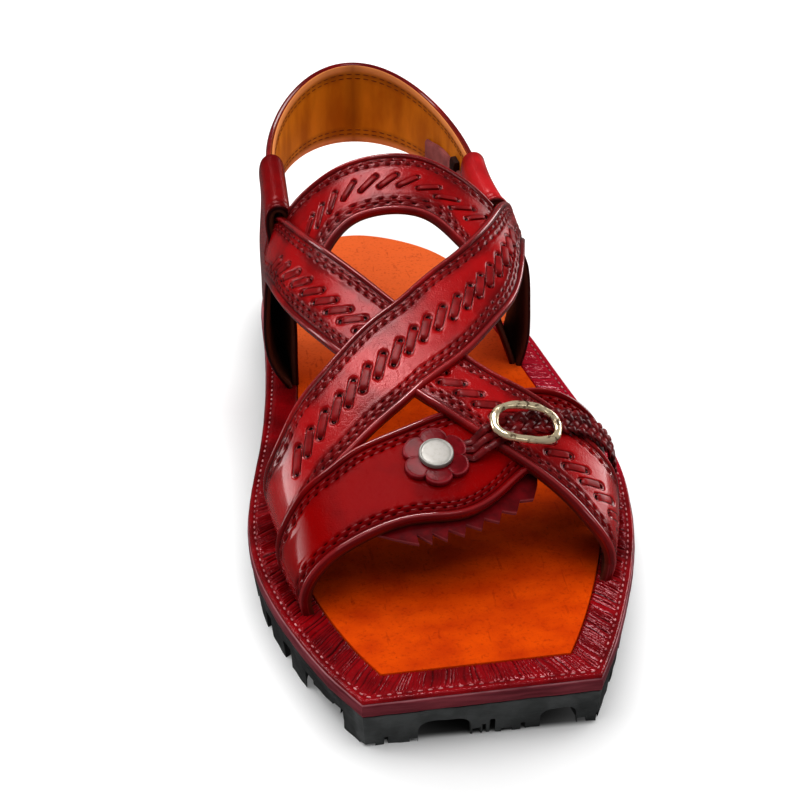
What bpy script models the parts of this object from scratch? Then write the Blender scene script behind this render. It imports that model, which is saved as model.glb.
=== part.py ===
"""Left strap sandal: a flat tyre sole, crossed leather straps, a heel strap and a small side buckle.

The frame is in metres with +Z up. The toe points to -Y and the outer (lateral) side of the foot
to +X. The origin lies on the floor, under the middle of the sole.
Sizes in the tables and constants are millimetres, and MM turns them into metres. The tables are
drawn from the foot's own line, and an empty carries every piece from there to the origin.
"""

import bmesh
import bpy
import numpy as np
from mathutils import Matrix

MM = 0.001
GAP = 0.3

# Middle of the sole's box in the tables' lines, which the empty brings to the origin
SOLE_MIDDLE = (0.914, -0.197)

# Sole layers, from the floor up
OUTSOLE_HEIGHT = 11.2
MIDSOLE_BOTTOM = 11.5
MIDSOLE_TOP = 16.0
LAYER_BOTTOM = 16.3
RAND_TOP = 17.6
INSOLE_TOP = 17.4
OUTSOLE_TOP_INSET = 0.5
OUTSOLE_FLOOR_INSET = 1.8
FOOT_LEVEL = RAND_TOP + GAP

# The sole's plan: the two sides at each station along the shoe, and the rearmost point of the heel
OUTLINE = np.array([
    (-140.0, -34.5, 34.2),
    (-125.0, -42.6, 39.6),
    (-107.0, -49.8, 46.6),
    (-90.0, -55.0, 52.2),
    (-70.0, -58.9, 57.4),
    (-50.0, -59.5, 60.4),
    (-28.0, -56.9, 61.4),
    (2.0, -51.4, 57.2),
    (34.0, -47.3, 51.2),
    (68.0, -45.0, 44.6),
    (100.0, -42.9, 34.2),
    (122.0, -34.6, 23.2),
    (135.0, -21.6, 8.2),
], dtype=[("station", float), ("medial", float), ("lateral", float)])
HEEL_END = (-7.2, 140.0)
TOE_SKEW = 3.4
SIDE_POINTS = 66

# The rand is a strip round the front of the sole, its width taken square to the edge
RAND_WIDTH = np.array([
    (-140.0, 11.6, 11.4),
    (-100.0, 12.0, 10.6),
    (-60.0, 12.2, 10.2),
    (0.0, 11.4, 10.4),
    (68.0, 10.4, 10.4),
], dtype=[("station", float), ("medial", float), ("lateral", float)])
RAND_TOE_WIDTH = 11.4
RAND_END = 66.0
RAND_EDGE_INSET = 0.3
INSOLE_HEEL_INSET = 0.8

# Tread: long grooves, one thin slit, and notches that part the shoulder lugs
GROOVES = np.array([
    (-43.0, 9.0, 6.0),
    (-10.5, 15.0, 6.8),
    (3.2, 1.6, 5.0),
    (21.5, 11.0, 6.8),
], dtype=[("centre", float), ("width", float), ("depth", float)])
LUG_PITCH = 16.5
LUG_NOTCH_WIDTH = 4.6
LUG_NOTCH_REACH = 7.5
LUG_NOTCH_HEIGHT = 7.0
LUG_SLANT = np.radians(24.0)

# The last: where a strap meets the sole, how far each side swells, and the ridge over the foot
LAST = np.array([
    (-120.0, -34.5, -35.0, 31.5, 32.0, 14.0, -3.0, 0.14, -0.02),
    (-100.0, -40.5, -41.0, 37.5, 38.0, 18.5, -4.0, 0.18, -0.02),
    (-80.0, -45.0, -46.0, 43.0, 44.5, 24.5, -5.0, 0.24, 0.02),
    (-60.0, -46.5, -48.5, 47.0, 48.5, 32.0, -5.0, 0.30, 0.06),
    (-35.0, -45.0, -48.5, 48.0, 48.8, 44.0, -4.0, 0.35, 0.09),
    (-10.0, -42.0, -46.5, 46.0, 46.0, 54.5, -3.0, 0.38, 0.10),
    (20.0, -37.5, -43.0, 40.5, 39.5, 68.0, -3.0, 0.38, 0.10),
    (45.0, -35.0, -41.0, 36.5, 35.5, 80.0, -4.0, 0.38, 0.10),
    (70.0, -34.0, -39.0, 33.0, 32.0, 92.0, -5.0, 0.38, 0.10),
], dtype=[("station", float), ("foot_medial", float), ("side_medial", float), ("foot_lateral", float),
          ("side_lateral", float), ("height", float), ("ridge", float), ("side_share", float),
          ("fullness", float)])
SIDE_TURN = 0.13

# Leather
STRAP_THICKNESS = 2.6
LAP = 2.2
LOOP_THICKNESS = 2.2

# Straps: share runs across the foot from the medial sole edge (0) to the lateral one (1),
# front and back are the stations of the strap's two edges there
EDGES = [("share", float), ("front", float), ("back", float)]
OVER_STRAP = np.array([
    (0.00, -77.0, -46.5),
    (0.12, -76.0, -46.0),
    (0.24, -73.0, -43.7),
    (0.29, -69.3, -38.0),
    (0.335, -64.9, -33.4),
    (0.38, -60.4, -27.4),
    (0.43, -54.3, -19.6),
    (0.476, -48.2, -13.2),
    (0.52, -40.8, -4.8),
    (0.56, -33.4, 2.4),
    (0.608, -21.4, 12.2),
    (0.65, -9.8, 22.0),
    (0.69, 5.0, 32.0),
    (0.735, 21.0, 40.5),
    (0.79, 34.0, 48.0),
], dtype=EDGES)
UNDER_STRAP = np.array([
    (0.19, 30.0, 45.0),
    (0.225, 17.0, 45.0),
    (0.257, 4.5, 42.6),
    (0.29, -6.0, 34.5),
    (0.327, -15.8, 23.6),
    (0.378, -28.0, 10.0),
    (0.433, -37.6, -3.0),
    (0.491, -47.2, -17.0),
    (0.540, -56.8, -28.6),
    (0.587, -65.1, -37.6),
    (0.640, -72.7, -44.0),
    (0.70, -80.0, -51.0),
    (0.76, -85.6, -55.4),
    (0.83, -88.6, -58.0),
    (0.91, -90.4, -61.0),
    (1.00, -91.4, -64.0),
], dtype=EDGES)
VAMP_STRAP = np.array([
    (0.00, -96.8, -73.0),
    (0.12, -96.4, -72.0),
    (0.21, -95.2, -70.0),
    (0.27, -93.6, -66.6),
    (0.33, -91.6, -63.2),
    (0.38, -89.6, -59.4),
    (0.436, -88.0, -56.6),
    (0.485, -88.0, -53.8),
    (0.529, -87.6, -50.6),
    (0.564, -84.6, -48.0),
    (0.594, -79.4, -45.4),
    (0.625, -72.4, -43.0),
    (0.68, -66.0, -40.6),
    (0.76, -61.6, -40.4),
    (0.87, -59.4, -40.6),
    (1.00, -59.0, -40.6),
], dtype=EDGES)
ARCH_STRAP = np.array([
    (0.27, 8.0, 41.4),
    (0.31, 6.0, 40.6),
    (0.345, 9.0, 40.2),
    (0.381, 15.2, 40.5),
    (0.41, 18.6, 40.8),
    (0.45, 20.0, 41.0),
    (0.49, 19.9, 41.0),
    (0.52, 19.0, 40.9),
    (0.545, 16.8, 40.4),
    (0.566, 12.8, 39.6),
    (0.59, 7.0, 38.2),
    (0.63, 4.0, 35.6),
    (0.68, 6.0, 32.0),
], dtype=EDGES)

# How far each strap is lifted where it lies on another one
OVER_LIFT = np.array([
    (-72.0, 0.0), (-42.0, LAP),
], dtype=[("station", float), ("lift", float)])
UNDER_LIFT = np.array([
    (-52.0, LAP), (-34.0, 0.0), (-12.0, 0.0), (18.0, LAP),
], dtype=[("station", float), ("lift", float)])
VAMP_LIFT = np.array([
    (0.26, LAP), (0.43, 0.0),
], dtype=[("share", float), ("lift", float)])

# Side loops: the middle line of each folded quarter from its outer foot, over the heel strap,
# to its inner foot, with the stations of its two edges and the flare of its front edge
LOOP = [("x", float), ("z", float), ("front", float), ("back", float), ("flare", float)]
MEDIAL_LOOP = np.array([
    (-36.0, FOOT_LEVEL, 31.0, 64.0, 0.0),
    (-39.8, 22.5, 32.0, 64.0, 0.4),
    (-42.2, 29.0, 33.0, 64.5, 1.0),
    (-43.7, 40.0, 34.0, 65.0, 1.3),
    (-44.0, 53.0, 35.6, 65.5, 0.4),
    (-43.7, 66.0, 37.2, 66.0, -0.7),
    (-43.4, 76.0, 38.6, 66.0, -0.5),
    (-43.4, 84.0, 39.0, 66.0, 0.0),
    (-42.5, 86.1, 39.0, 66.0, 0.0),
    (-40.5, 87.0, 39.0, 66.0, 0.0),
    (-38.5, 86.1, 39.0, 66.0, 0.0),
    (-37.6, 84.0, 39.0, 66.0, 0.0),
    (-37.6, 74.0, 39.2, 66.0, 0.0),
    (-37.4, 62.0, 39.4, 65.5, 0.0),
    (-37.2, 50.0, 39.0, 65.0, 0.0),
    (-36.6, 38.0, 37.0, 64.5, 0.0),
    (-35.0, 27.0, 35.0, 64.0, 0.0),
    (-32.6, FOOT_LEVEL, 33.0, 64.0, 0.0),
], dtype=LOOP)
LATERAL_LOOP = np.array([
    (38.8, FOOT_LEVEL, 35.6, 64.0, 0.0),
    (40.4, 22.5, 35.8, 64.0, 0.4),
    (41.2, 29.0, 36.4, 64.5, 1.0),
    (41.0, 40.0, 38.0, 65.0, 1.5),
    (39.4, 53.0, 40.0, 65.5, 1.5),
    (35.4, 64.0, 40.6, 66.0, 0.8),
    (31.8, 73.0, 39.4, 66.0, 0.2),
    (30.4, 80.5, 39.0, 66.0, 0.0),
    (29.5, 82.6, 39.0, 66.0, 0.0),
    (27.5, 83.5, 39.0, 66.0, 0.0),
    (25.5, 82.6, 39.0, 66.0, 0.0),
    (24.6, 80.5, 39.0, 66.0, 0.0),
    (24.6, 72.0, 39.4, 66.0, 0.0),
    (24.6, 60.5, 40.0, 65.5, 0.0),
    (27.0, 50.0, 40.0, 65.0, 0.0),
    (30.4, 38.0, 39.0, 64.5, 0.0),
    (33.2, 27.0, 38.0, 64.0, 0.0),
    (34.2, FOOT_LEVEL, 37.0, 64.0, 0.0),
], dtype=LOOP)
FLARE_RUN = 12.0

# Towards their front ends the folds and the heel strap inside them shift across and down
SLEEVE_RUN = 27.0
SLEEVE_SHARE = np.array([(56.0, 0.0), (72.0, 1.0)], dtype=[("z", float), ("share", float)])
MEDIAL_SLEEVE = (0.0, -6.5)
LATERAL_SLEEVE = (4.0, -5.0)

# Heel strap: straight inside the side loops, then half an ellipse round the heel
HEEL_STRAP_THICKNESS = 3.0
HEEL_STRAP_CENTRE = (-6.5, 66.0)
HEEL_STRAP_HALF_WIDTH = 35.5
HEEL_STRAP_REACH = 62.0
HEEL_STRAP_FRONT = 46.5
HEEL_STRAP_LOW = 63.5
HEEL_STRAP_SIDE_TOP = 83.8
HEEL_STRAP_BACK_RISE = 10.2
HEEL_STRAP_TILT = 3.5

# Pinked trim under the front edge of the vamp strap
TRIM_EDGE = np.array([
    (0.365, -90.6), (0.40, -92.4), (0.443, -94.2), (0.492, -94.4), (0.535, -92.4),
    (0.581, -88.6), (0.623, -83.0), (0.65, -77.4),
], dtype=[("share", float), ("front", float)])
TRIM_TEETH = 12
TRIM_TOOTH = 2.6
TRIM_TUCK = 7.0
TRIM_THICKNESS = 1.2

# Braided side strap, buckle and flower
BRAID = np.array([
    (0.553, -65.4, 2.2, 2.9),
    (0.568, -63.2, 2.6, 5.3),
    (0.600, -59.0, 3.8, 5.4),
    (0.635, -56.0, 4.0, 5.1),
    (0.677, -53.8, 4.0, 5.1),
    (0.714, -52.5, 4.0, 5.1),
    (0.754, -52.0, 4.0, 5.1),
    (0.810, -51.8, 4.0, 4.4),
    (0.880, -51.5, 4.0, 2.9),
    (1.000, -51.0, 4.0, 2.9),
], dtype=[("share", float), ("middle", float), ("half_width", float), ("lift", float)])
BRAID_THICKNESS = 1.9
BRAID_RAISE = 0.6
BRAID_STRIPS = 19
BUCKLE_PLACE = (0.621, -58.8)
BUCKLE_LIFT = 9.6
BUCKLE_LENGTH = 22.5
BUCKLE_WIDTH = 15.0
BUCKLE_WIRE = 2.6
BUCKLE_BEND = 46.0
FLOWER_PLACE = (0.505, -67.6)
FLOWER_LIFT = 3.5
FLOWER_RADIUS = 10.4
FLOWER_NOTCH = 2.4
FLOWER_THICKNESS = 1.6
FLOWER_BEND = 52.0
PETALS = 6
STUD_RADIUS = 5.2
STUD_HEIGHT = 2.4


def spline(knots, values):
    """Natural cubic spline through the values at the knots, as a function of one number or an array."""
    step = np.diff(knots)
    slope = np.diff(values) / step
    count = len(knots)
    system = np.eye(count)
    right = np.zeros(count)
    for i in range(1, count - 1):
        system[i, i - 1:i + 2] = step[i - 1], 2.0 * (step[i - 1] + step[i]), step[i]
        right[i] = 6.0 * (slope[i] - slope[i - 1])
    bend = np.linalg.solve(system, right)

    def value(at):
        i = np.clip(np.searchsorted(knots, at) - 1, 0, count - 2)
        run = at - knots[i]
        rise = slope[i] - step[i] * (2.0 * bend[i] + bend[i + 1]) / 6.0
        return values[i] + run * (rise + run * (bend[i] / 2.0 + run * (bend[i + 1] - bend[i]) / (6.0 * step[i])))

    return value


def column(table, name):
    """The named column of a table as a spline over the table's first column."""
    return spline(table[table.dtype.names[0]], table[name])


def eased(table, at):
    """The table's second column over its first, easing from row to row and level beyond its ends."""
    knots, values = (table[name] for name in table.dtype.names)
    i = np.clip(np.searchsorted(knots, at) - 1, 0, len(knots) - 2)
    share = np.clip((at - knots[i]) / (knots[i + 1] - knots[i]), 0.0, 1.0)
    return values[i] + (values[i + 1] - values[i]) * share * share * (3.0 - 2.0 * share)


LAST_COLUMNS = {name: column(LAST, name) for name in LAST.dtype.names[1:]}


def last_point(share, station):
    """Point on the last: a leaning wall up to the widest place, then a full arch over the ridge."""
    share, station = np.broadcast_arrays(np.asarray(share, float), np.asarray(station, float))
    at = {name: curve(station) for name, curve in LAST_COLUMNS.items()}
    medial = share < 0.5
    half = np.where(medial, share, 1.0 - share)
    foot = np.where(medial, at["foot_medial"], at["foot_lateral"])
    side = np.where(medial, at["side_medial"], at["side_lateral"])
    low = half < SIDE_TURN
    turn = np.minimum(half / SIDE_TURN, 1.0)
    angle = np.pi * np.clip((half - SIDE_TURN) / (1.0 - 2.0 * SIDE_TURN), 0.0, 1.0)
    full_x = np.cos(angle) * (1.0 + at["fullness"] * np.sin(angle) ** 2)
    full_z = np.sin(angle) * (1.0 + at["fullness"] * np.cos(angle) ** 2)
    wall_x = foot + (side - foot) * np.sin(np.pi / 2.0 * turn)
    arch_x = at["ridge"] + (side - at["ridge"]) * full_x
    wall_z = at["side_share"] * turn
    arch_z = at["side_share"] + (1.0 - at["side_share"]) * full_z
    x = np.where(low, wall_x, arch_x)
    z = FOOT_LEVEL + at["height"] * np.where(low, wall_z, arch_z)
    return np.stack([x, station, z], axis=-1)


def last_frame(share, station):
    """Unit vectors of the last there: across the foot, along the foot and outwards."""
    across = last_point(share + 0.002, station) - last_point(share - 0.002, station)
    along = last_point(share, station + 0.5) - last_point(share, station - 0.5)
    across = across / np.linalg.norm(across, axis=-1, keepdims=True)
    out = np.cross(across, along)
    out = out / np.linalg.norm(out, axis=-1, keepdims=True)
    return across, np.cross(out, across), out


def last_surface(share, station, lift):
    """Point that lies the given lift outside the last; the feet end level with the sole."""
    share, station, lift = np.broadcast_arrays(share, station, lift)
    out = last_frame(share, station)[2]
    point = last_point(share, station) + out * lift[..., None]
    ends = (share <= 0.0) | (share >= 1.0)
    point[..., 2] = np.where(ends, FOOT_LEVEL, np.maximum(point[..., 2], FOOT_LEVEL))
    return point


def make_centre():
    """Empty that stands at the middle of the sole and carries every piece."""
    centre = bpy.data.objects.new("sandal", None)
    bpy.context.collection.objects.link(centre)
    centre.location = (-SOLE_MIDDLE[0] * MM, -SOLE_MIDDLE[1] * MM, 0.0)


def new_object(name, mesh, material):
    """Link a mesh to the scene as a named object on the sandal's empty, with its material."""
    obj = bpy.data.objects.new(name, mesh)
    bpy.context.collection.objects.link(obj)
    obj.parent = bpy.data.objects["sandal"]
    if material is not None:
        mesh.materials.append(material)
    return obj


def new_mesh(name, points, faces):
    """Mesh from millimetre points, with its faces turned outwards and round parts shaded smooth."""
    mesh = bpy.data.meshes.new(name)
    mesh.from_pydata((np.asarray(points) * MM).tolist(), [], faces)
    work = bmesh.new()
    work.from_mesh(mesh)
    bmesh.ops.recalc_face_normals(work, faces=work.faces)
    work.to_mesh(mesh)
    work.free()
    mesh.shade_smooth()
    mesh.set_sharp_from_angle(angle=np.radians(40.0))
    return mesh


def shell_mesh(name, inner, outer):
    """Closed sheet between two grids of points of the same size."""
    rows, cols = inner.shape[:2]
    points = np.concatenate([inner.reshape(-1, 3), outer.reshape(-1, 3)])
    index = np.arange(rows * cols).reshape(rows, cols)
    other = index + rows * cols
    faces = []
    for i in range(rows - 1):
        for j in range(cols - 1):
            faces.append((index[i, j], index[i, j + 1], index[i + 1, j + 1], index[i + 1, j]))
            faces.append((other[i, j], other[i + 1, j], other[i + 1, j + 1], other[i, j + 1]))
    rim = [*index[0, :-1], *index[:-1, -1], *index[-1, :0:-1], *index[:0:-1, 0]]
    for k, here in enumerate(rim):
        there = rim[(k + 1) % len(rim)]
        faces.append((here, there, there + rows * cols, here + rows * cols))
    return new_mesh(name, points, [tuple(int(i) for i in face) for face in faces])


def loft_mesh(name, low, high):
    """Closed plate between two level loops with the same number of points."""
    count = len(low)
    points = np.concatenate([low, high])
    faces = [tuple(range(count)), tuple(range(count, 2 * count))]
    for i in range(count):
        j = (i + 1) % count
        faces.append((i, j, count + j, count + i))
    return new_mesh(name, points, faces)


def level(loop, height):
    """Plan loop raised to a height."""
    return np.column_stack([loop, np.full(len(loop), height)])


def paint(name, colour, roughness, metallic=0.0):
    """Principled material of one colour."""
    material = bpy.data.materials.new(name)
    material.use_nodes = True
    shader = material.node_tree.nodes["Principled BSDF"]
    shader.inputs["Base Color"].default_value = (*colour, 1.0)
    shader.inputs["Roughness"].default_value = roughness
    shader.inputs["Metallic"].default_value = metallic
    material.diffuse_color = (*colour, 1.0)
    return material


def hide_helper(obj):
    """Keep a joined or cutting shape out of the finished part."""
    obj.hide_render = True
    obj.display_type = "WIRE"


def boolean(obj, other, operation):
    """Add an exact Boolean with a helper object."""
    modifier = obj.modifiers.new(other.name, "BOOLEAN")
    modifier.solver = "EXACT"
    modifier.operation = operation
    modifier.object = other
    hide_helper(other)


def side_path():
    """Sole edge from the medial toe corner round the heel to the lateral toe corner, with inward normals."""
    rows = OUTLINE
    medial = np.column_stack([rows["medial"], rows["station"]])
    lateral = np.column_stack([rows["lateral"], rows["station"]])[::-1]
    lateral[-1, 1] += TOE_SKEW
    knots = np.concatenate([medial, [HEEL_END], lateral])
    run = np.concatenate([[0.0], np.cumsum(np.linalg.norm(np.diff(knots, axis=0), axis=1))])
    at = np.linspace(0.0, run[-1], SIDE_POINTS)
    x = spline(run, knots[:, 0])
    y = spline(run, knots[:, 1])
    edge = np.column_stack([x(at), y(at)])
    ahead = np.column_stack([x(at + 0.1) - x(at - 0.1), y(at + 0.1) - y(at - 0.1)])
    ahead /= np.linalg.norm(ahead, axis=1, keepdims=True)
    inward = np.column_stack([ahead[:, 1], -ahead[:, 0]])
    return edge, inward


def sole_loop(side_inset, toe_inset):
    """Plan loop of the sole, moved inwards along its sides and at its straight toe."""
    edge, inward = side_path()
    loop = edge + inward * np.broadcast_to(side_inset, len(edge))[:, None]
    ends = edge[[0, -1]]
    slope = (ends[1, 1] - ends[0, 1]) / (ends[1, 0] - ends[0, 0])
    ahead = loop[:, 1] - (ends[0, 1] + toe_inset + slope * (loop[:, 0] - ends[0, 0]))
    keep = np.flatnonzero(ahead > 1.0)
    first, last = keep[0], keep[-1]

    def corner(outside, inside):
        """Where the moved side crosses the moved toe line, along its last straight stretch."""
        share = ahead[inside] / (ahead[inside] - ahead[outside])
        return loop[inside] + (loop[outside] - loop[inside]) * share

    medial_out, lateral_out = max(first - 1, 0), min(last + 1, len(loop) - 1)
    medial = corner(medial_out if medial_out < first else first + 1, first)
    lateral = corner(lateral_out if lateral_out > last else last - 1, last)
    return np.concatenate([[medial], loop[first:last + 1], [lateral]])


def side_widths():
    """Rand width at every point of the sole edge."""
    edge = side_path()[0]
    half = np.arange(len(edge)) < np.argmax(edge[:, 1])
    station = np.clip(edge[:, 1], RAND_WIDTH["station"][0], RAND_WIDTH["station"][-1])
    return np.where(half, column(RAND_WIDTH, "medial")(station), column(RAND_WIDTH, "lateral")(station))


def ahead_of(loop, station):
    """The stretch of a sole loop that lies ahead of a station, from lateral end to medial end."""
    back = np.argmax(loop[:, 1])
    medial, lateral = loop[:back], loop[back:]

    def cut(side):
        """One side from the station forwards, starting exactly on it."""
        order = np.argsort(side[:, 1])
        x = np.interp(station, side[order, 1], side[order, 0])
        return np.concatenate([[(x, station)], side[order][::-1][side[order][::-1, 1] < station - 1.0]])

    return np.concatenate([cut(lateral), cut(medial)[::-1]])


def make_outsole(material):
    """Tyre rubber slab with tread grooves and shoulder lugs."""
    low = level(sole_loop(OUTSOLE_FLOOR_INSET, OUTSOLE_FLOOR_INSET), 0.0)
    high = level(sole_loop(OUTSOLE_TOP_INSET, OUTSOLE_TOP_INSET), OUTSOLE_HEIGHT)
    outsole = new_object("outsole", loft_mesh("outsole", low, high), material)
    half_length = 160.0
    below = -4.0

    grooves = bmesh.new()
    for groove in GROOVES:
        size = Matrix.Diagonal((groove["width"], 2.0 * half_length, groove["depth"] - below, 1.0))
        place = Matrix.Translation((groove["centre"], 0.0, (groove["depth"] + below) / 2.0))
        bmesh.ops.create_cube(grooves, size=1.0, matrix=Matrix.Scale(MM, 4) @ place @ size)
    cutter = bpy.data.meshes.new("tread_grooves")
    grooves.to_mesh(cutter)
    grooves.free()
    boolean(outsole, new_object("tread_grooves", cutter, None), "DIFFERENCE")

    notches = bmesh.new()
    edge, inward = side_path()
    run = np.concatenate([[0.0], np.cumsum(np.linalg.norm(np.diff(edge, axis=0), axis=1))])
    for at in np.arange(LUG_PITCH * 0.8, run[-1] - LUG_PITCH * 0.5, LUG_PITCH):
        x, y = (np.interp(at, run, edge[:, k]) for k in range(2))
        turn = np.arctan2(np.interp(at, run, inward[:, 1]), np.interp(at, run, inward[:, 0]))
        size = Matrix.Diagonal((2.0 * LUG_NOTCH_REACH, LUG_NOTCH_WIDTH, LUG_NOTCH_HEIGHT - below, 1.0))
        place = Matrix.Translation((x, y, (LUG_NOTCH_HEIGHT + below) / 2.0))
        slant = Matrix.Rotation(turn + LUG_SLANT, 4, "Z")
        bmesh.ops.create_cube(notches, size=1.0, matrix=Matrix.Scale(MM, 4) @ place @ slant @ size)
    cutter = bpy.data.meshes.new("lug_notches")
    notches.to_mesh(cutter)
    notches.free()
    boolean(outsole, new_object("lug_notches", cutter, None), "DIFFERENCE")


def make_layers(midsole_paint, rand_paint, insole_paint):
    """Midsole, the rand strip round its front, and the insole inside the rand."""
    whole = sole_loop(0.0, 0.0)
    midsole = loft_mesh("midsole", level(whole, MIDSOLE_BOTTOM), level(whole, MIDSOLE_TOP))
    new_object("midsole", midsole, midsole_paint)

    widths = side_widths()
    outer = ahead_of(sole_loop(RAND_EDGE_INSET, RAND_EDGE_INSET), RAND_END)
    inner = ahead_of(sole_loop(widths, RAND_TOE_WIDTH), RAND_END)
    strip = np.concatenate([outer, inner[::-1]])
    rand = loft_mesh("rand", level(strip, LAYER_BOTTOM), level(strip, RAND_TOP))
    new_object("rand", rand, rand_paint)

    front = ahead_of(sole_loop(widths + GAP, RAND_TOE_WIDTH + GAP), RAND_END + GAP)
    heel = sole_loop(INSOLE_HEEL_INSET, INSOLE_HEEL_INSET)
    back = np.argmax(heel[:, 1])
    start, end = RAND_END + GAP, HEEL_END[1]
    behind = [p for p in heel if start + 1.0 < p[1] <= end]
    steps = [(np.interp(start, heel[:back, 1], heel[:back, 0]), start)]
    steps += [tuple(p) for p in behind]
    steps += [(np.interp(start, heel[back:, 1][::-1], heel[back:, 0][::-1]), start)]
    plan = np.concatenate([np.array(steps), front])
    insole = loft_mesh("insole", level(plan, LAYER_BOTTOM), level(plan, INSOLE_TOP))
    new_object("insole", insole, insole_paint)


def strap_mesh(name, table, lift_table, rows, cols):
    """Strap on the last between its two edges, lifted by a table over station or share."""
    share = np.linspace(table["share"][0], table["share"][-1], rows)[:, None]
    over = np.linspace(0.0, 1.0, cols)[None, :]
    front = column(table, "front")(share)
    back = column(table, "back")(share)
    station = front + (back - front) * over
    lift = np.zeros_like(station)
    if lift_table is not None:
        by_share = lift_table.dtype.names[0] == "share"
        lift = eased(lift_table, share + 0.0 * over if by_share else station)
    inner = last_surface(share, station, lift)
    outer = last_surface(share, station, lift + STRAP_THICKNESS)
    return shell_mesh(name, inner, outer)


def sleeve_shift(station, ends):
    """Shift across and upwards of a sleeve, from none at its back to that of its front end."""
    share = np.clip((HEEL_STRAP_CENTRE[1] - station) / SLEEVE_RUN, 0.0, 1.0)
    return ends[0] * share ** 2, ends[1] * share


def loop_mesh(name, table, rows, cols):
    """Folded side loop: its middle line thickened to both sides, its fold sloped, its front edge flared."""
    knots = np.column_stack([table["x"], table["z"]])
    run = np.concatenate([[0.0], np.cumsum(np.linalg.norm(np.diff(knots, axis=0), axis=1))])
    at = np.linspace(0.0, run[-1], rows)
    x, z = spline(run, table["x"]), spline(run, table["z"])
    ahead = np.column_stack([x(at + 0.05) - x(at - 0.05), z(at + 0.05) - z(at - 0.05)])
    ahead /= np.linalg.norm(ahead, axis=1, keepdims=True)
    front = np.interp(at, run, table["front"])[:, None]
    back = np.interp(at, run, table["back"])[:, None]
    flare = np.interp(at, run, table["flare"])[:, None]
    station = front + (back - front) * np.linspace(0.0, 1.0, cols)[None, :] ** 1.4
    spread = flare * np.clip(1.0 - (station - front) / FLARE_RUN, 0.0, 1.0) ** 2 * np.sign(table["x"][0])
    across, down = sleeve_shift(station, MEDIAL_SLEEVE if table["x"][0] < 0.0 else LATERAL_SLEEVE)
    folded = eased(SLEEVE_SHARE, z(at))[:, None]
    faces = []
    for offset in (-LOOP_THICKNESS / 2.0, LOOP_THICKNESS / 2.0):
        side_x = (x(at) - ahead[:, 1] * offset)[:, None] + spread + across * folded
        side_z = (z(at) + ahead[:, 0] * offset)[:, None] + down * folded
        side_z[[0, -1]] = FOOT_LEVEL
        faces.append(np.stack([side_x, station, side_z], axis=-1))
    return shell_mesh(name, faces[0], faces[1])


def make_upper(material):
    """The straps and both side loops, joined where they cross."""
    upper = new_object("upper", strap_mesh("upper", OVER_STRAP, OVER_LIFT, 34, 4), material)
    others = [
        ("under_strap", strap_mesh("under_strap", UNDER_STRAP, UNDER_LIFT, 34, 4)),
        ("vamp_strap", strap_mesh("vamp_strap", VAMP_STRAP, VAMP_LIFT, 38, 4)),
        ("arch_strap", strap_mesh("arch_strap", ARCH_STRAP, None, 22, 4)),
        ("medial_loop", loop_mesh("medial_loop", MEDIAL_LOOP, 40, 5)),
        ("lateral_loop", loop_mesh("lateral_loop", LATERAL_LOOP, 40, 5)),
    ]
    for name, mesh in others:
        boolean(upper, new_object(name, mesh, None), "UNION")


def make_heel_strap(material):
    """Band round the back of the heel, taller behind than at the sides and lower on the lateral side."""
    centre_x, centre_y = HEEL_STRAP_CENTRE
    straight = np.linspace(HEEL_STRAP_FRONT, centre_y, 4)[:-1]
    level = np.ones_like(straight)
    turn = np.linspace(0.0, np.pi, 33)
    z_share = np.linspace(0.0, 1.0, 4)[None, :]

    def wall(inset):
        """One face of the band, the given distance inside its outer face."""
        width, reach = HEEL_STRAP_HALF_WIDTH - inset, HEEL_STRAP_REACH - inset
        side = np.concatenate([level, np.cos(turn), -level])
        y = np.concatenate([straight, centre_y + reach * np.sin(turn), straight[::-1]])
        sleeves = sleeve_shift(y, LATERAL_SLEEVE), sleeve_shift(y, MEDIAL_SLEEVE)
        across, down = (np.where(side > 0.0, lateral, medial) for lateral, medial in zip(*sleeves))
        x = centre_x + width * side + across
        low = HEEL_STRAP_LOW + down - HEEL_STRAP_TILT * (1.0 + side) / 2.0
        tall = HEEL_STRAP_SIDE_TOP - HEEL_STRAP_LOW + HEEL_STRAP_BACK_RISE * (1.0 - side ** 2)
        z = low[:, None] + tall[:, None] * z_share
        return np.stack([x[:, None] + 0.0 * z, y[:, None] + 0.0 * z, z], axis=-1)

    new_object("heel_strap", shell_mesh("heel_strap", wall(HEEL_STRAP_THICKNESS), wall(0.0)), material)


def make_toe_trim(material):
    """Pinked strip tucked under the front edge of the vamp strap."""
    share = np.linspace(TRIM_EDGE["share"][0], TRIM_EDGE["share"][-1], 2 * TRIM_TEETH + 1)[:, None]
    tooth = np.where(np.arange(len(share)) % 2 == 1, 0.0, TRIM_TOOTH)[:, None]
    front = column(TRIM_EDGE, "front")(share) + tooth
    back = column(VAMP_STRAP, "front")(share) + TRIM_TUCK
    station = front + (back - front) * np.array([0.0, 0.45, 1.0])[None, :]
    lift = eased(VAMP_LIFT, share + 0.0 * station) - GAP
    inner = last_surface(share, station, lift - TRIM_THICKNESS)
    outer = last_surface(share, station, lift)
    new_object("toe_trim", shell_mesh("toe_trim", inner, outer), material)


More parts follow.
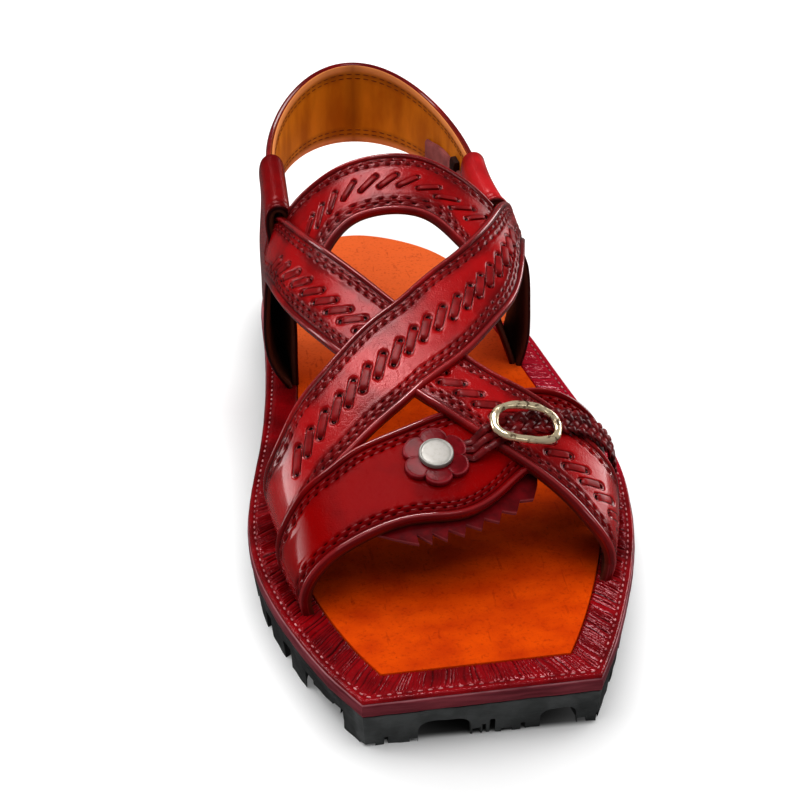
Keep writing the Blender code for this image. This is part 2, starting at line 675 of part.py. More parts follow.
def make_side_strap(material):
    """Braided strap from the lateral sole edge to the flower, its strips raised in two slanted rows."""
    rows = 2 * BRAID_STRIPS + 1
    share = np.linspace(BRAID["share"][0], BRAID["share"][-1], rows)[:, None]
    over = np.linspace(-1.0, 1.0, 7)[None, :]
    half_width = column(BRAID, "half_width")(share)
    station = column(BRAID, "middle")(share) + half_width * over
    lift = np.interp(share, BRAID["share"], BRAID["lift"]) + 0.0 * station
    phase = np.arange(rows)[:, None] + 1.5 * np.abs(over)
    raised = BRAID_RAISE * np.abs(np.sin(np.pi / 2.0 * phase)) * (1.0 - over ** 4)
    inner = last_surface(share, station, lift)
    outer = last_surface(share, station, lift + BRAID_THICKNESS + raised)
    new_object("side_strap", shell_mesh("side_strap", inner, outer), material)


def seat(obj, place, lift):
    """Put an object on the last, its X across the foot and its Z outwards."""
    share, station = place
    axes = last_frame(share, station)
    origin = (last_point(share, station) + axes[2] * lift) * MM
    turn = Matrix([[axes[col][row] for col in range(3)] for row in range(3)]).to_4x4()
    obj.matrix_basis = Matrix.Translation(origin) @ turn


def make_buckle(material):
    """Oval wire frame, bent to lie over the strap."""
    around = np.linspace(0.0, 2.0 * np.pi, 28, endpoint=False)
    ring = np.linspace(0.0, 2.0 * np.pi, 8, endpoint=False)
    half_x = (BUCKLE_LENGTH - BUCKLE_WIRE) / 2.0
    half_y = (BUCKLE_WIDTH - BUCKLE_WIRE) / 2.0
    squared = 2.0 / 2.5
    path_x = half_x * np.sign(np.cos(around)) * np.abs(np.cos(around)) ** squared
    path_y = half_y * np.sign(np.sin(around)) * np.abs(np.sin(around)) ** squared
    out_x, out_y = np.cos(around), np.sin(around)
    wire = BUCKLE_WIRE / 2.0
    x = path_x[:, None] + wire * out_x[:, None] * np.cos(ring)[None, :]
    y = path_y[:, None] + wire * out_y[:, None] * np.cos(ring)[None, :]
    z = 0.75 * wire * np.sin(ring)[None, :] - x ** 2 / (2.0 * BUCKLE_BEND)
    points = np.stack([x, y, z], axis=-1).reshape(-1, 3)
    faces = []
    for i in range(28):
        for j in range(8):
            k, m = (i + 1) % 28, (j + 1) % 8
            faces.append((8 * i + j, 8 * k + j, 8 * k + m, 8 * i + m))
    buckle = new_object("buckle", new_mesh("buckle", points, faces), material)
    seat(buckle, BUCKLE_PLACE, BUCKLE_LIFT)


def make_flower(material):
    """Six-petalled leather rosette, bent over the vamp strap."""
    rings = np.array([0.0, 0.34, 0.67, 1.0])
    turn = np.linspace(0.0, 2.0 * np.pi, 12 * PETALS, endpoint=False)
    lobe = np.abs(np.sin(PETALS * turn / 2.0)) ** 0.6
    edge = FLOWER_RADIUS - FLOWER_NOTCH * (1.0 - lobe)
    loop = np.column_stack([edge * np.cos(turn), edge * np.sin(turn)])
    count = len(turn)
    flat = np.concatenate([[(0.0, 0.0)]] + [loop * r for r in rings[1:]])
    sag = -flat[:, :1] ** 2 / (2.0 * FLOWER_BEND)
    points = np.concatenate([np.hstack([flat, sag]), np.hstack([flat, sag + FLOWER_THICKNESS])])
    size = len(flat)
    faces = []
    for i in range(count):
        j = (i + 1) % count
        for base in (0, size):
            faces.append((base, base + 1 + i, base + 1 + j))
            for ring in range(2):
                a, b = base + 1 + ring * count, base + 1 + (ring + 1) * count
                faces.append((a + i, b + i, b + j, a + j))
        rim = 1 + 2 * count
        faces.append((rim + i, rim + j, size + rim + j, size + rim + i))
    flower = new_object("flower", new_mesh("flower", points, faces), material)
    seat(flower, FLOWER_PLACE, FLOWER_LIFT)


def make_stud(material):
    """Domed round stud in the middle of the flower."""
    rise = np.radians([90.0, 68.0, 46.0, 24.0, 0.0])
    around = np.linspace(0.0, 2.0 * np.pi, 24, endpoint=False)
    rim = 0.7
    points = [(0.0, 0.0, STUD_HEIGHT)]
    for angle in rise[1:]:
        radius, height = STUD_RADIUS * np.cos(angle), rim + (STUD_HEIGHT - rim) * np.sin(angle)
        points += [(radius * np.cos(a), radius * np.sin(a), height) for a in around]
    points += [(STUD_RADIUS * np.cos(a), STUD_RADIUS * np.sin(a), 0.0) for a in around]
    faces = [tuple(range(1 + 4 * 24, 1 + 5 * 24))]
    for i in range(24):
        j = (i + 1) % 24
        faces.append((0, 1 + i, 1 + j))
        for ring in range(4):
            a, b = 1 + 24 * ring, 1 + 24 * (ring + 1)
            faces.append((a + i, b + i, b + j, a + j))
    stud = new_object("stud", new_mesh("stud", points, faces), material)
    seat(stud, FLOWER_PLACE, FLOWER_LIFT + FLOWER_THICKNESS + GAP)


def main():
    """Clear the scene and build every piece of the sandal."""
    for obj in list(bpy.data.objects):
        bpy.data.objects.remove(obj)
    make_centre()
    leather = paint("red_leather", (0.33, 0.012, 0.014), 0.32)
    heel = paint("heel_leather", (0.30, 0.012, 0.014), 0.35)
    rubber = paint("tyre_rubber", (0.022, 0.022, 0.020), 0.75)
    edge = paint("midsole_leather", (0.13, 0.012, 0.018), 0.45)
    rand = paint("rand_leather", (0.22, 0.010, 0.014), 0.38)
    sock = paint("insole_leather", (0.80, 0.115, 0.006), 0.55)
    trim = paint("trim_leather", (0.13, 0.010, 0.012), 0.5)
    braid = paint("braid_leather", (0.16, 0.014, 0.018), 0.42)
    petal = paint("flower_leather", (0.24, 0.014, 0.018), 0.4)
    brass = paint("buckle_metal", (0.72, 0.62, 0.45), 0.28, 1.0)
    silver = paint("stud_metal", (0.70, 0.70, 0.69), 0.3, 1.0)
    make_outsole(rubber)
    make_layers(edge, rand, sock)
    make_upper(leather)
    make_heel_strap(heel)
    make_toe_trim(trim)
    make_side_strap(braid)
    make_buckle(brass)
    make_flower(petal)
    make_stud(silver)


main()
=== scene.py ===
"""Looks of the left strap sandal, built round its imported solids.

Sizes are millimetres in the foot's own lines: the toe points to -Y, the outer (lateral) side of
the foot to +X, and the floor is at Z 0. place() turns them into metres round the origin, which
lies on the floor under the middle of the sole.
"""

import logging
from dataclasses import dataclass
from enum import Enum
from typing import Callable

import bmesh
import bpy
import numpy as np
from mathutils import Matrix

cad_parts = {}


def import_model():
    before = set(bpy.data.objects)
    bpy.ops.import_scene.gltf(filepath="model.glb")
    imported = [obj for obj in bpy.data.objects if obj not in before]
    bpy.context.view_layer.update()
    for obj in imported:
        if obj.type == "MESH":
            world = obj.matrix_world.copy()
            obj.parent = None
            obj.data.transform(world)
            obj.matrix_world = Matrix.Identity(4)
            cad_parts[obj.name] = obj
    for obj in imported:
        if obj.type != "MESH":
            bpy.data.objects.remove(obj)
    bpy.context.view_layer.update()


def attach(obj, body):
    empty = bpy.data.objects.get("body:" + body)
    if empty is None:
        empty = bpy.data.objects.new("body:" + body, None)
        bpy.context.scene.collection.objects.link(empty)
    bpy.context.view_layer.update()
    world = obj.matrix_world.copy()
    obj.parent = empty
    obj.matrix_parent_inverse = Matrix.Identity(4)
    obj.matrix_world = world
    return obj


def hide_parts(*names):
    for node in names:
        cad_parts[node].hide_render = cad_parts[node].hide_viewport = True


Array = np.ndarray
Curve = Callable[[Array], Array]
Pair = tuple[float, float]
Triple = tuple[float, float, float]
Colour = Triple

LOG = logging.getLogger("sandal")
BODY = "root"


def numbers(*names: str) -> list[tuple[str, type]]:
    """Named columns of a table of numbers."""
    return [(name, float) for name in names]


MM = 0.001
GAP = 0.3
SOLE_MIDDLE = np.array([0.914, -0.197, 0.0])
SMOOTH_ANGLE = np.radians(42.0)

# Sole layers, from the floor up
OUTSOLE_HEIGHT = 11.2
MIDSOLE_BOTTOM = 11.4
MIDSOLE_TOP = 16.1
LAYER_BOTTOM = 16.2
RAND_TOP = 17.6
INSOLE_TOP = 17.4
FOOT_LEVEL = RAND_TOP + GAP
FEET_END = FOOT_LEVEL - 2.0 * GAP
RAND_END = 66.0

# Sole outline and rand, by place along the foot
SIDES = numbers("station", "medial", "lateral")
OUTLINE = np.array([
    (-140.0, -34.5, 34.2), (-125.0, -42.6, 39.6), (-107.0, -49.8, 46.6), (-90.0, -55.0, 52.2),
    (-70.0, -58.9, 57.4), (-50.0, -59.5, 60.4), (-28.0, -56.9, 61.4), (2.0, -51.4, 57.2),
    (34.0, -47.3, 51.2), (68.0, -45.0, 44.6), (100.0, -42.9, 34.2), (122.0, -34.6, 23.2),
    (135.0, -21.6, 8.2),
], dtype=SIDES)
HEEL_END = (-7.2, 140.0)
TOE_SKEW = 3.4
RAND_WIDTH = np.array([
    (-140.0, 11.6, 11.4), (-100.0, 12.0, 10.6), (-60.0, 12.2, 10.2), (0.0, 11.4, 10.4),
    (68.0, 10.4, 10.4),
], dtype=SIDES)
RAND_TOE_WIDTH = 11.4

# The last, by place along the foot
LAST = np.array([
    (-120.0, -34.5, -35.0, 31.5, 32.0, 14.0, -3.0, 0.14, -0.02),
    (-100.0, -40.5, -41.0, 37.5, 38.0, 18.5, -4.0, 0.18, -0.02),
    (-80.0, -45.0, -46.0, 43.0, 44.5, 24.5, -5.0, 0.24, 0.02),
    (-60.0, -46.5, -48.5, 47.0, 48.5, 32.0, -5.0, 0.30, 0.06),
    (-35.0, -45.0, -48.5, 48.0, 48.8, 44.0, -4.0, 0.35, 0.09),
    (-10.0, -42.0, -46.5, 46.0, 46.0, 54.5, -3.0, 0.38, 0.10),
    (20.0, -37.5, -43.0, 40.5, 39.5, 68.0, -3.0, 0.38, 0.10),
    (45.0, -35.0, -41.0, 36.5, 35.5, 80.0, -4.0, 0.38, 0.10),
    (70.0, -34.0, -39.0, 33.0, 32.0, 92.0, -5.0, 0.38, 0.10),
], dtype=numbers("station", "foot_medial", "side_medial", "foot_lateral", "side_lateral",
                 "height", "ridge", "side_share", "fullness"))
SIDE_TURN = 0.13

# Straps: edges by share across the foot, and how far each stands off the last
STRAP_THICKNESS = 2.6
LAP = 2.2
FAR_FROM_EDGE = 9.0
WORKED_ROWS = np.array([
    0.0, 0.2, 0.5, 0.9, 1.3, 1.7, 2.1, 2.5, 2.9, 3.3, 3.7, 4.1, 4.55, 5.0, 5.45, 5.9, 6.6,
])

EDGES = numbers("share", "front", "back")
OVER_STRAP = np.array([
    (0.00, -77.0, -46.5), (0.12, -76.0, -46.0), (0.24, -73.0, -43.7), (0.29, -69.3, -38.0),
    (0.335, -64.9, -33.4), (0.38, -60.4, -27.4), (0.43, -54.3, -19.6), (0.476, -48.2, -13.2),
    (0.52, -40.8, -4.8), (0.56, -33.4, 2.4), (0.608, -21.4, 12.2), (0.65, -9.8, 22.0),
    (0.69, 5.0, 32.0), (0.735, 21.0, 40.5), (0.79, 34.0, 48.0),
], dtype=EDGES)
UNDER_STRAP = np.array([
    (0.19, 30.0, 45.0), (0.225, 17.0, 45.0), (0.257, 4.5, 42.6), (0.29, -6.0, 34.5),
    (0.327, -15.8, 23.6), (0.378, -28.0, 10.0), (0.433, -37.6, -3.0), (0.491, -47.2, -17.0),
    (0.540, -56.8, -28.6), (0.587, -65.1, -37.6), (0.640, -72.7, -44.0), (0.70, -80.0, -51.0),
    (0.76, -85.6, -55.4), (0.83, -88.6, -58.0), (0.91, -90.4, -61.0), (1.00, -91.4, -64.0),
], dtype=EDGES)
VAMP_STRAP = np.array([
    (0.00, -96.8, -73.0), (0.12, -96.4, -72.0), (0.21, -95.2, -70.0), (0.27, -93.6, -66.6),
    (0.33, -91.6, -63.2), (0.38, -89.6, -59.4), (0.436, -88.0, -56.6), (0.485, -88.0, -53.8),
    (0.529, -87.6, -50.6), (0.564, -84.6, -48.0), (0.594, -79.4, -45.4), (0.625, -72.4, -43.0),
    (0.68, -66.0, -40.6), (0.76, -61.6, -40.4), (0.87, -59.4, -40.6), (1.00, -59.0, -40.6),
], dtype=EDGES)
ARCH_STRAP = np.array([
    (0.27, 8.0, 41.4), (0.31, 6.0, 40.6), (0.345, 9.0, 40.2), (0.381, 15.2, 40.5),
    (0.41, 18.6, 40.8), (0.45, 20.0, 41.0), (0.49, 19.9, 41.0), (0.52, 19.0, 40.9),
    (0.545, 16.8, 40.4), (0.566, 12.8, 39.6), (0.59, 7.0, 38.2), (0.63, 4.0, 35.6),
    (0.68, 6.0, 32.0),
], dtype=EDGES)
BY_STATION = numbers("station", "lift")
BY_SHARE = numbers("share", "lift")
OVER_LIFT = np.array([(-72.0, 0.0), (-42.0, LAP)], dtype=BY_STATION)
UNDER_LIFT = np.array([(-52.0, LAP), (-34.0, 0.0), (-12.0, 0.0), (18.0, LAP)], dtype=BY_STATION)
VAMP_LIFT = np.array([(0.26, LAP), (0.43, 0.0)], dtype=BY_SHARE)
ARCH_LIFT = np.array([(0.0, 0.0), (1.0, 0.0)], dtype=BY_SHARE)

# Side loops, along the middle line of each strip from its outer foot to its inner one
LOOP = numbers("x", "z", "front", "back", "flare")
MEDIAL_LOOP = np.array([
    (-39.2, FOOT_LEVEL, 31.0, 64.0, 0.0), (-42.2, 22.5, 32.0, 64.0, 0.4),
    (-44.4, 29.0, 33.0, 64.5, 1.0), (-45.2, 40.0, 34.0, 65.0, 1.0),
    (-44.7, 53.0, 35.6, 65.5, 0.4), (-43.7, 66.0, 37.2, 66.0, -0.7),
    (-43.4, 76.0, 38.6, 66.0, -0.5), (-43.4, 84.0, 39.0, 66.0, 0.0),
    (-42.5, 86.1, 39.0, 66.0, 0.0), (-40.5, 87.0, 39.0, 66.0, 0.0),
    (-38.5, 86.1, 39.0, 66.0, 0.0), (-37.6, 84.0, 39.0, 66.0, 0.0),
    (-37.6, 74.0, 39.2, 66.0, 0.0), (-37.4, 62.0, 39.4, 65.5, 0.0),
    (-37.2, 50.0, 39.0, 65.0, 0.0), (-36.6, 38.0, 37.0, 64.5, 0.0),
    (-36.8, 27.0, 35.0, 64.0, 0.0), (-37.0, FOOT_LEVEL, 33.0, 64.0, 0.0),
], dtype=LOOP)
LATERAL_LOOP = np.array([
    (39.6, FOOT_LEVEL, 35.6, 64.0, 0.0), (40.6, 22.5, 35.8, 64.0, 0.4),
    (41.2, 29.0, 36.4, 64.5, 1.0), (41.0, 40.0, 38.0, 65.0, 1.5),
    (39.4, 53.0, 40.0, 65.5, 2.6), (35.4, 64.0, 40.6, 66.0, 2.2),
    (31.8, 73.0, 39.4, 66.0, 0.6), (30.4, 80.5, 39.0, 66.0, 0.0),
    (29.5, 82.6, 39.0, 66.0, 0.0), (27.5, 83.5, 39.0, 66.0, 0.0),
    (25.5, 82.6, 39.0, 66.0, 0.0), (24.6, 80.5, 39.0, 66.0, 0.0),
    (24.6, 72.0, 39.4, 66.0, 0.0), (24.6, 60.5, 40.0, 65.5, 0.0),
    (27.0, 50.0, 40.0, 65.0, 0.0), (30.4, 38.0, 39.0, 64.5, 0.0),
    (34.4, 27.0, 38.0, 64.0, 0.0), (37.4, FOOT_LEVEL, 37.0, 64.0, 0.0),
], dtype=LOOP)

# Sleeves that the loops make for the heel strap
SLEEVE_BACK = 66.0
SLEEVE_RUN = 27.0
SLEEVE_SHARE = np.array([(56.0, 0.0), (72.0, 1.0)], dtype=numbers("z", "share"))
MEDIAL_SLEEVE = (0.0, -6.5)
LATERAL_SLEEVE = (4.0, -5.0)

# Toe trim and plaited strap, by share across the foot
TRIM_EDGE = np.array([
    (0.365, -90.6), (0.40, -92.4), (0.443, -94.2), (0.492, -94.4), (0.535, -92.4),
    (0.581, -88.6), (0.623, -83.0), (0.65, -77.4),
], dtype=numbers("share", "front"))
BRAID = np.array([
    (0.553, -65.4, 2.2, 2.9), (0.568, -63.2, 2.6, 5.3),
    (0.600, -59.0, 3.8, 5.4), (0.635, -56.0, 4.0, 5.1),
    (0.677, -53.8, 4.0, 5.1), (0.714, -52.5, 4.0, 5.1),
    (0.754, -52.0, 4.0, 5.1), (0.810, -51.8, 4.0, 4.4),
    (0.880, -51.5, 4.0, 2.9), (1.000, -51.0, 4.0, 2.9),
], dtype=numbers("share", "middle", "half_width", "lift"))
STRAND_RING = 10


def spline(knots: Array, values: Array) -> Curve:
    """Natural cubic spline: cubic pieces through the values, level in bend at both ends.

    Args:
        knots: Rising places along the curve.
        values: The value at each knot.

    Returns:
        The curve as a function of an array of places.
    """
    step = np.diff(knots)
    slope = np.diff(values) / step
    middle = np.concatenate([[1.0], 2.0 * (step[:-1] + step[1:]), [1.0]])
    above = np.diag(np.concatenate([[0.0], step[1:]]), 1)
    below = np.diag(np.concatenate([step[:-1], [0.0]]), -1)
    right = np.concatenate([[0.0], 6.0 * np.diff(slope), [0.0]])
    bend = np.linalg.solve(np.diag(middle) + above + below, right)

    def value(at: Array) -> Array:
        """The spline's value at each place."""
        i = np.clip(np.searchsorted(knots, at) - 1, 0, len(knots) - 2)
        run = at - knots[i]
        rise = slope[i] - step[i] * (2.0 * bend[i] + bend[i + 1]) / 6.0
        third = run * (bend[i + 1] - bend[i]) / (6.0 * step[i])
        return values[i] + run * (rise + run * (bend[i] / 2.0 + third))

    return value


def column(table: Array, name: str) -> Curve:
    """The named column of a table as a spline over the table's first column."""
    return spline(table[table.dtype.names[0]], table[name])


def eased(table: Array, at: Array) -> Array:
    """The table's second column over its first, easing from row to row and level beyond its ends."""
    knots, values = (table[name] for name in table.dtype.names)
    i = np.clip(np.searchsorted(knots, at) - 1, 0, len(knots) - 2)
    share = np.clip((at - knots[i]) / (knots[i + 1] - knots[i]), 0.0, 1.0)
    return values[i] + (values[i + 1] - values[i]) * share * share * (3.0 - 2.0 * share)


def bell(at: Array, middle: float, width: float) -> Array:
    """A soft hump of height 1: exp of minus the squared distance from its middle, in widths."""
    return np.exp(-((at - middle) / width) ** 2)


def step_up(at: Array, low: float, high: float) -> Array:
    """0 below low, 1 above high, and an even ease between them."""
    share = np.clip((at - low) / (high - low), 0.0, 1.0)
    return share * share * (3.0 - 2.0 * share)


def rounded_off(edge: Array, corner: float) -> Array:
    """Fall of a face towards its edge: a quarter circle of the corner's radius, and none further in."""
    return corner - np.sqrt(corner ** 2 - (corner - np.minimum(edge, corner)) ** 2)


def unit(vectors: Array) -> Array:
    """Vectors divided by their lengths."""
    return vectors / np.maximum(np.linalg.norm(vectors, axis=-1, keepdims=True), 1e-9)


def lengths(path: Array) -> Array:
    """Distance along a path of points from its start to each point."""
    return np.concatenate([[0.0], np.cumsum(np.linalg.norm(np.diff(path, axis=0), axis=1))])


def even(path: Array, count: int) -> Array:
    """A path's points read again at even distances along it."""
    run = lengths(path)
    at = np.linspace(0.0, run[-1], count)
    return np.column_stack([np.interp(at, run, path[:, k]) for k in range(path.shape[1])])


def full_turn(count: int) -> Array:
    """Even angles once round, without the last."""
    return np.linspace(0.0, 2.0 * np.pi, count, endpoint=False)


def heading(first: Curve, second: Curve, at: Array, step: float) -> Array:
    """Unit direction of a flat curve at each place, from its points a step behind and ahead."""
    return unit(np.column_stack([curve(at + step) - curve(at - step) for curve in (first, second)]))


def level_at(path: Array, height: float) -> Array:
    """The points of a flat path at one height."""
    return np.column_stack([path, np.full(len(path), height)])


def stitch_axes(ahead: Array, out: Array) -> Array:
    """Axes of each stitch: along its line, across it and outwards."""
    return np.stack([ahead, np.cross(out, ahead), out], axis=1)


def place(points: Array) -> Array:
    """Millimetres in the foot's lines as metres round the origin."""
    return (np.asarray(points, float).reshape(-1, 3) - SOLE_MIDDLE) * MM


def grid_faces(rows: int, cols: int, round_rows: bool = False, round_cols: bool = False) -> Array:
    """Four-sided faces of a grid of points, joined round in either direction if asked.

    Args:
        rows: Points in the first direction.
        cols: Points in the second direction.
        round_rows: Join the last row to the first.
        round_cols: Join the last column to the first.

    Returns:
        Point numbers, four to a face.
    """
    i = np.arange(rows if round_rows else rows - 1)[:, None]
    j = np.arange(cols if round_cols else cols - 1)[None, :]
    next_i, next_j = (i + 1) % rows, (j + 1) % cols
    corners = [i * cols + j, i * cols + next_j, next_i * cols + next_j, next_i * cols + j]
    return np.stack(np.broadcast_arrays(*corners), axis=-1).reshape(-1, 4)


def tube_faces(rows: int, ring: int) -> Array:
    """Faces of a closed tube of rings, each end closed by a ladder of faces across its even ring."""
    rung = np.arange(ring // 2 - 1)[:, None]
    start = np.hstack([rung, rung + 1, ring - 2 - rung, ring - 1 - rung])
    end = start[:, ::-1] + (rows - 1) * ring
    return np.concatenate([grid_faces(rows, ring, round_cols=True), start, end])


def sleeve_faces(rows: int, ring: int) -> list[list[int]]:
    """Faces of a closed tube of rings, each end closed by one face."""
    ends = [list(range(ring)), list(range((rows - 1) * ring, rows * ring))]
    return grid_faces(rows, ring, round_cols=True).tolist() + ends


def sleeve_shift(station: Array, ends: Pair) -> tuple[Array, Array]:
    """Shift across and upwards of a heel strap's sleeve, from none at its back to that of its front end."""
    share = np.clip((SLEEVE_BACK - station) / SLEEVE_RUN, 0.0, 1.0)
    return ends[0] * share ** 2, ends[1] * share


def copies(shape: Array, faces: Array, origins: Array, axes: Array) -> tuple[Array, Array]:
    """One small shape repeated at many places as a single mesh.

    Args:
        shape: Points of the shape in its own axes.
        faces: Its faces.
        origins: Where each copy goes.
        axes: The three unit axes of each copy, one to a row.

    Returns:
        Points and faces of all copies.
    """
    points = origins[:, None, :] + np.einsum("nk,mkj->mnj", shape, axes)
    shift = np.arange(len(origins))[:, None, None] * len(shape)
    return points.reshape(-1, 3), (faces[None] + shift).reshape(-1, 4)


def pill(length: float, width: float, height: float, rows: int = 6, ring: int = 6) -> tuple[Array, Array]:
    """Small rounded bar along X: rings whose size falls off as the fourth root towards both ends."""
    along = np.linspace(-0.97, 0.97, rows)[:, None]
    turn = full_turn(ring)[None, :]
    size = (1.0 - along ** 4) ** 0.25
    x = along * length / 2.0 + 0.0 * turn
    y = size * np.cos(turn) * width / 2.0
    z = size * np.sin(turn) * height / 2.0
    return np.stack([x, y, z], axis=-1).reshape(-1, 3), tube_faces(rows, ring)


class Value:
    """A number in a shader, which adds Math nodes as it is used in Python expressions."""

    def __init__(self, nodes: "Nodes", link: bpy.types.NodeSocket) -> None:
        """Hold the socket that gives the number."""
        self.nodes = nodes
        self.link = link

    def _math(self, operation: str, first: object, second: object) -> "Value":
        """One Math node on two numbers or values."""
        made = self.nodes.node("ShaderNodeMath", {"operation": operation}, {0: first, 1: second})
        return Value(self.nodes, made.outputs[0])

    def __add__(self, other: object) -> "Value":
        """Sum."""
        return self._math("ADD", self, other)

    __radd__ = __add__

    def __mul__(self, other: object) -> "Value":
        """Product."""
        return self._math("MULTIPLY", self, other)

    __rmul__ = __mul__

    def __sub__(self, other: object) -> "Value":
        """Difference."""
        return self._math("SUBTRACT", self, other)

    def __rsub__(self, other: object) -> "Value":
        """Difference the other way round."""
        return self._math("SUBTRACT", other, self)

    def __truediv__(self, other: object) -> "Value":
        """Quotient."""
        return self._math("DIVIDE", self, other)

    def between(self, low: float, high: float) -> "Value":
        """0 below low, 1 above high and eased between them."""
        settings = {"interpolation_type": "SMOOTHSTEP"}
        sockets = {"Value": self, "From Min": low, "From Max": high}
        made = self.nodes.node("ShaderNodeMapRange", settings, sockets)
        return Value(self.nodes, made.outputs["Result"])


class Nodes:
    """A material's node tree with one Principled shader."""

    def __init__(self, name: str) -> None:
        """Start a material of that name."""
        self.material = bpy.data.materials.new(name)
        self.material.use_nodes = True
        self.tree = self.material.node_tree
        self.shader = self.tree.nodes["Principled BSDF"]

    def node(self, kind: str, settings: dict[str, object], sockets: dict[object, object]) -> bpy.types.Node:
        """Add a node.

        Args:
            kind: The node's type.
            settings: Properties, set before the sockets.
            sockets: Values or links by socket name or number.

        Returns:
            The node.
        """
        made = self.tree.nodes.new(kind)
        for key, value in settings.items():
            setattr(made, key, value)
        for key, value in sockets.items():
            self.feed(made.inputs[key], value)
        return made

    def feed(self, socket: bpy.types.NodeSocket, value: object) -> None:
        """Link a value or a socket to an input, or set it."""
        link = value.link if isinstance(value, Value) else value
        if isinstance(link, bpy.types.NodeSocket):
            self.tree.links.new(link, socket)
        else:
            socket.default_value = value

    def where(self) -> bpy.types.NodeSocket:
        """Object coordinates, in metres."""
        return self.node("ShaderNodeTexCoord", {}, {}).outputs["Object"]

    def stretched(self, scale: Colour, turn: float = 0.0) -> bpy.types.NodeSocket:
        """Object coordinates turned about Z and scaled along each axis."""
        sockets = {"Vector": self.where(), "Scale": scale, "Rotation": (0.0, 0.0, turn)}
        return self.node("ShaderNodeMapping", {}, sockets).outputs["Vector"]

    def axis(self, name: str) -> Value:
        """Place along one of the piece's axes, in metres."""
        return Value(self, self.node("ShaderNodeSeparateXYZ", {}, {"Vector": self.where()}).outputs[name])

    def mark(self, name: str) -> Value:
        """A number kept on the piece's own points."""
        return Value(self, self.node("ShaderNodeAttribute", {"attribute_name": name}, {}).outputs["Fac"])

    def noise(self, size: float, detail: float = 2.0, at: bpy.types.NodeSocket | None = None) -> Value:
        """Cloudy noise from 0 to 1 whose patches are about size millimetres across."""
        sockets = {"Vector": at or self.where(), "Scale": 1.0 / (size * MM), "Detail": detail}
        return Value(self, self.node("ShaderNodeTexNoise", {}, sockets).outputs["Fac"])

    def cells(self, size: float) -> Value:
        """Distance to the nearest of scattered points about size millimetres apart."""
        sockets = {"Vector": self.where(), "Scale": 1.0 / (size * MM)}
        return Value(self, self.node("ShaderNodeTexVoronoi", {}, sockets).outputs["Distance"])

    def mix(self, share: object, first: object, second: object) -> bpy.types.NodeSocket:
        """A colour between two colours."""
        ends = [(*c, 1.0) if isinstance(c, tuple) else c for c in (first, second)]
        made = self.node("ShaderNodeMix", {"data_type": "RGBA"}, {0: share, 6: ends[0], 7: ends[1]})
        return made.outputs[2]

    def bump(self, height: Value, depth: float, strength: float = 1.0) -> None:
        """Let a height from 0 to 1 tilt the surface, depth being its rise in millimetres."""
        sockets = {"Height": height, "Distance": depth * MM, "Strength": strength}
        self.shade(Normal=self.node("ShaderNodeBump", {}, sockets).outputs["Normal"])

    def shade(self, **sockets: object) -> None:
        """Set or link the shader's sockets, with _ for the blanks in their names."""
        for key, value in sockets.items():
            socket = self.shader.inputs[key.replace("_", " ")]
            full = (*value, 1.0) if isinstance(value, tuple) and len(value) == 3 else value
            self.feed(socket, full)


@dataclass(frozen=True)
class StrapLeather:
    """Polished red leather: brighter in mid strap and darker towards its edges, with painted shade in its
    seams and a painted highlight line along its rims.
    """

    name: str
    bright: Colour = (0.34, 0.0022, 0.0038)
    deep: Colour = (0.125, 0.0010, 0.0022)
    # Near black painted shade for creases, stitch dents, lace outlines and folds.
    seam_shade: Colour = (0.004, 0.0002, 0.0003)
    # Flesh side of inner faces, dark brown both as its own colour and as painted shade in the loops'
    # pocket.
    inside: Colour = (0.07, 0.018, 0.009)
    # Paler line along the rim: a painted highlight that also stands for rubbed wax.
    wear_and_highlight: Colour = (0.42, 0.05, 0.055)
    sheen: Colour = (1.0, 0.6, 0.61)
    roughness: float = 0.16
    shine: float = 0.38

    def material(self) -> bpy.types.Material:
        """The leather's nodes, from the marks edge (millimetres to the strap's edge), the painted shade
        mark and inside.
        """
        nodes = Nodes(self.name)
        patches = nodes.noise(16.0, 6.0)
        grain = nodes.noise(0.5, 4.0)
        pits = nodes.cells(0.9).between(0.0, 0.35)
        edge = nodes.mark("edge")
        middle = edge.between(4.0, 8.0)
        rim = edge.between(2.4, 1.4)
        tone = (middle * 0.65 + rim * 0.1 + patches.between(0.3, 0.7) * 0.8 - 0.3).between(0.0, 1.0)
        colour = nodes.mix(tone, self.deep, self.bright)
        # Painted highlight: a paler line along the rolled rim, also standing for rubbed wax.
        colour = nodes.mix(edge.between(0.4, 0.8) * edge.between(1.5, 1.1) * 0.35, colour, self.wear_and_highlight)
        # Painted shade: near black in creases, stitch dents and round the laces.
        colour = nodes.mix(nodes.mark("painted_shade").between(0.25, 0.95), colour, self.seam_shade)
        # Inner faces: dark brown flesh side, also painted shade in the loops' pocket.
        colour = nodes.mix(nodes.mark("inside"), colour, self.inside)
        side = nodes.axis("X")
        polished = (side * side).between(0.0018, 0.0025)
        nodes.shade(Base_Color=colour, Specular_IOR_Level=self.shine, Specular_Tint=self.sheen)
        nodes.shade(Coat_Weight=(rim * 0.8 + polished * 0.7).between(0.0, 1.0), Coat_Roughness=0.08)
        nodes.shade(Roughness=self.roughness + patches * 0.05 + grain * 0.06 + nodes.mark("inside") * 0.4)
        nodes.bump(grain * 0.8 + pits * 0.4 + nodes.noise(5.0) * 0.7, 0.2, 0.55)
        return nodes.material


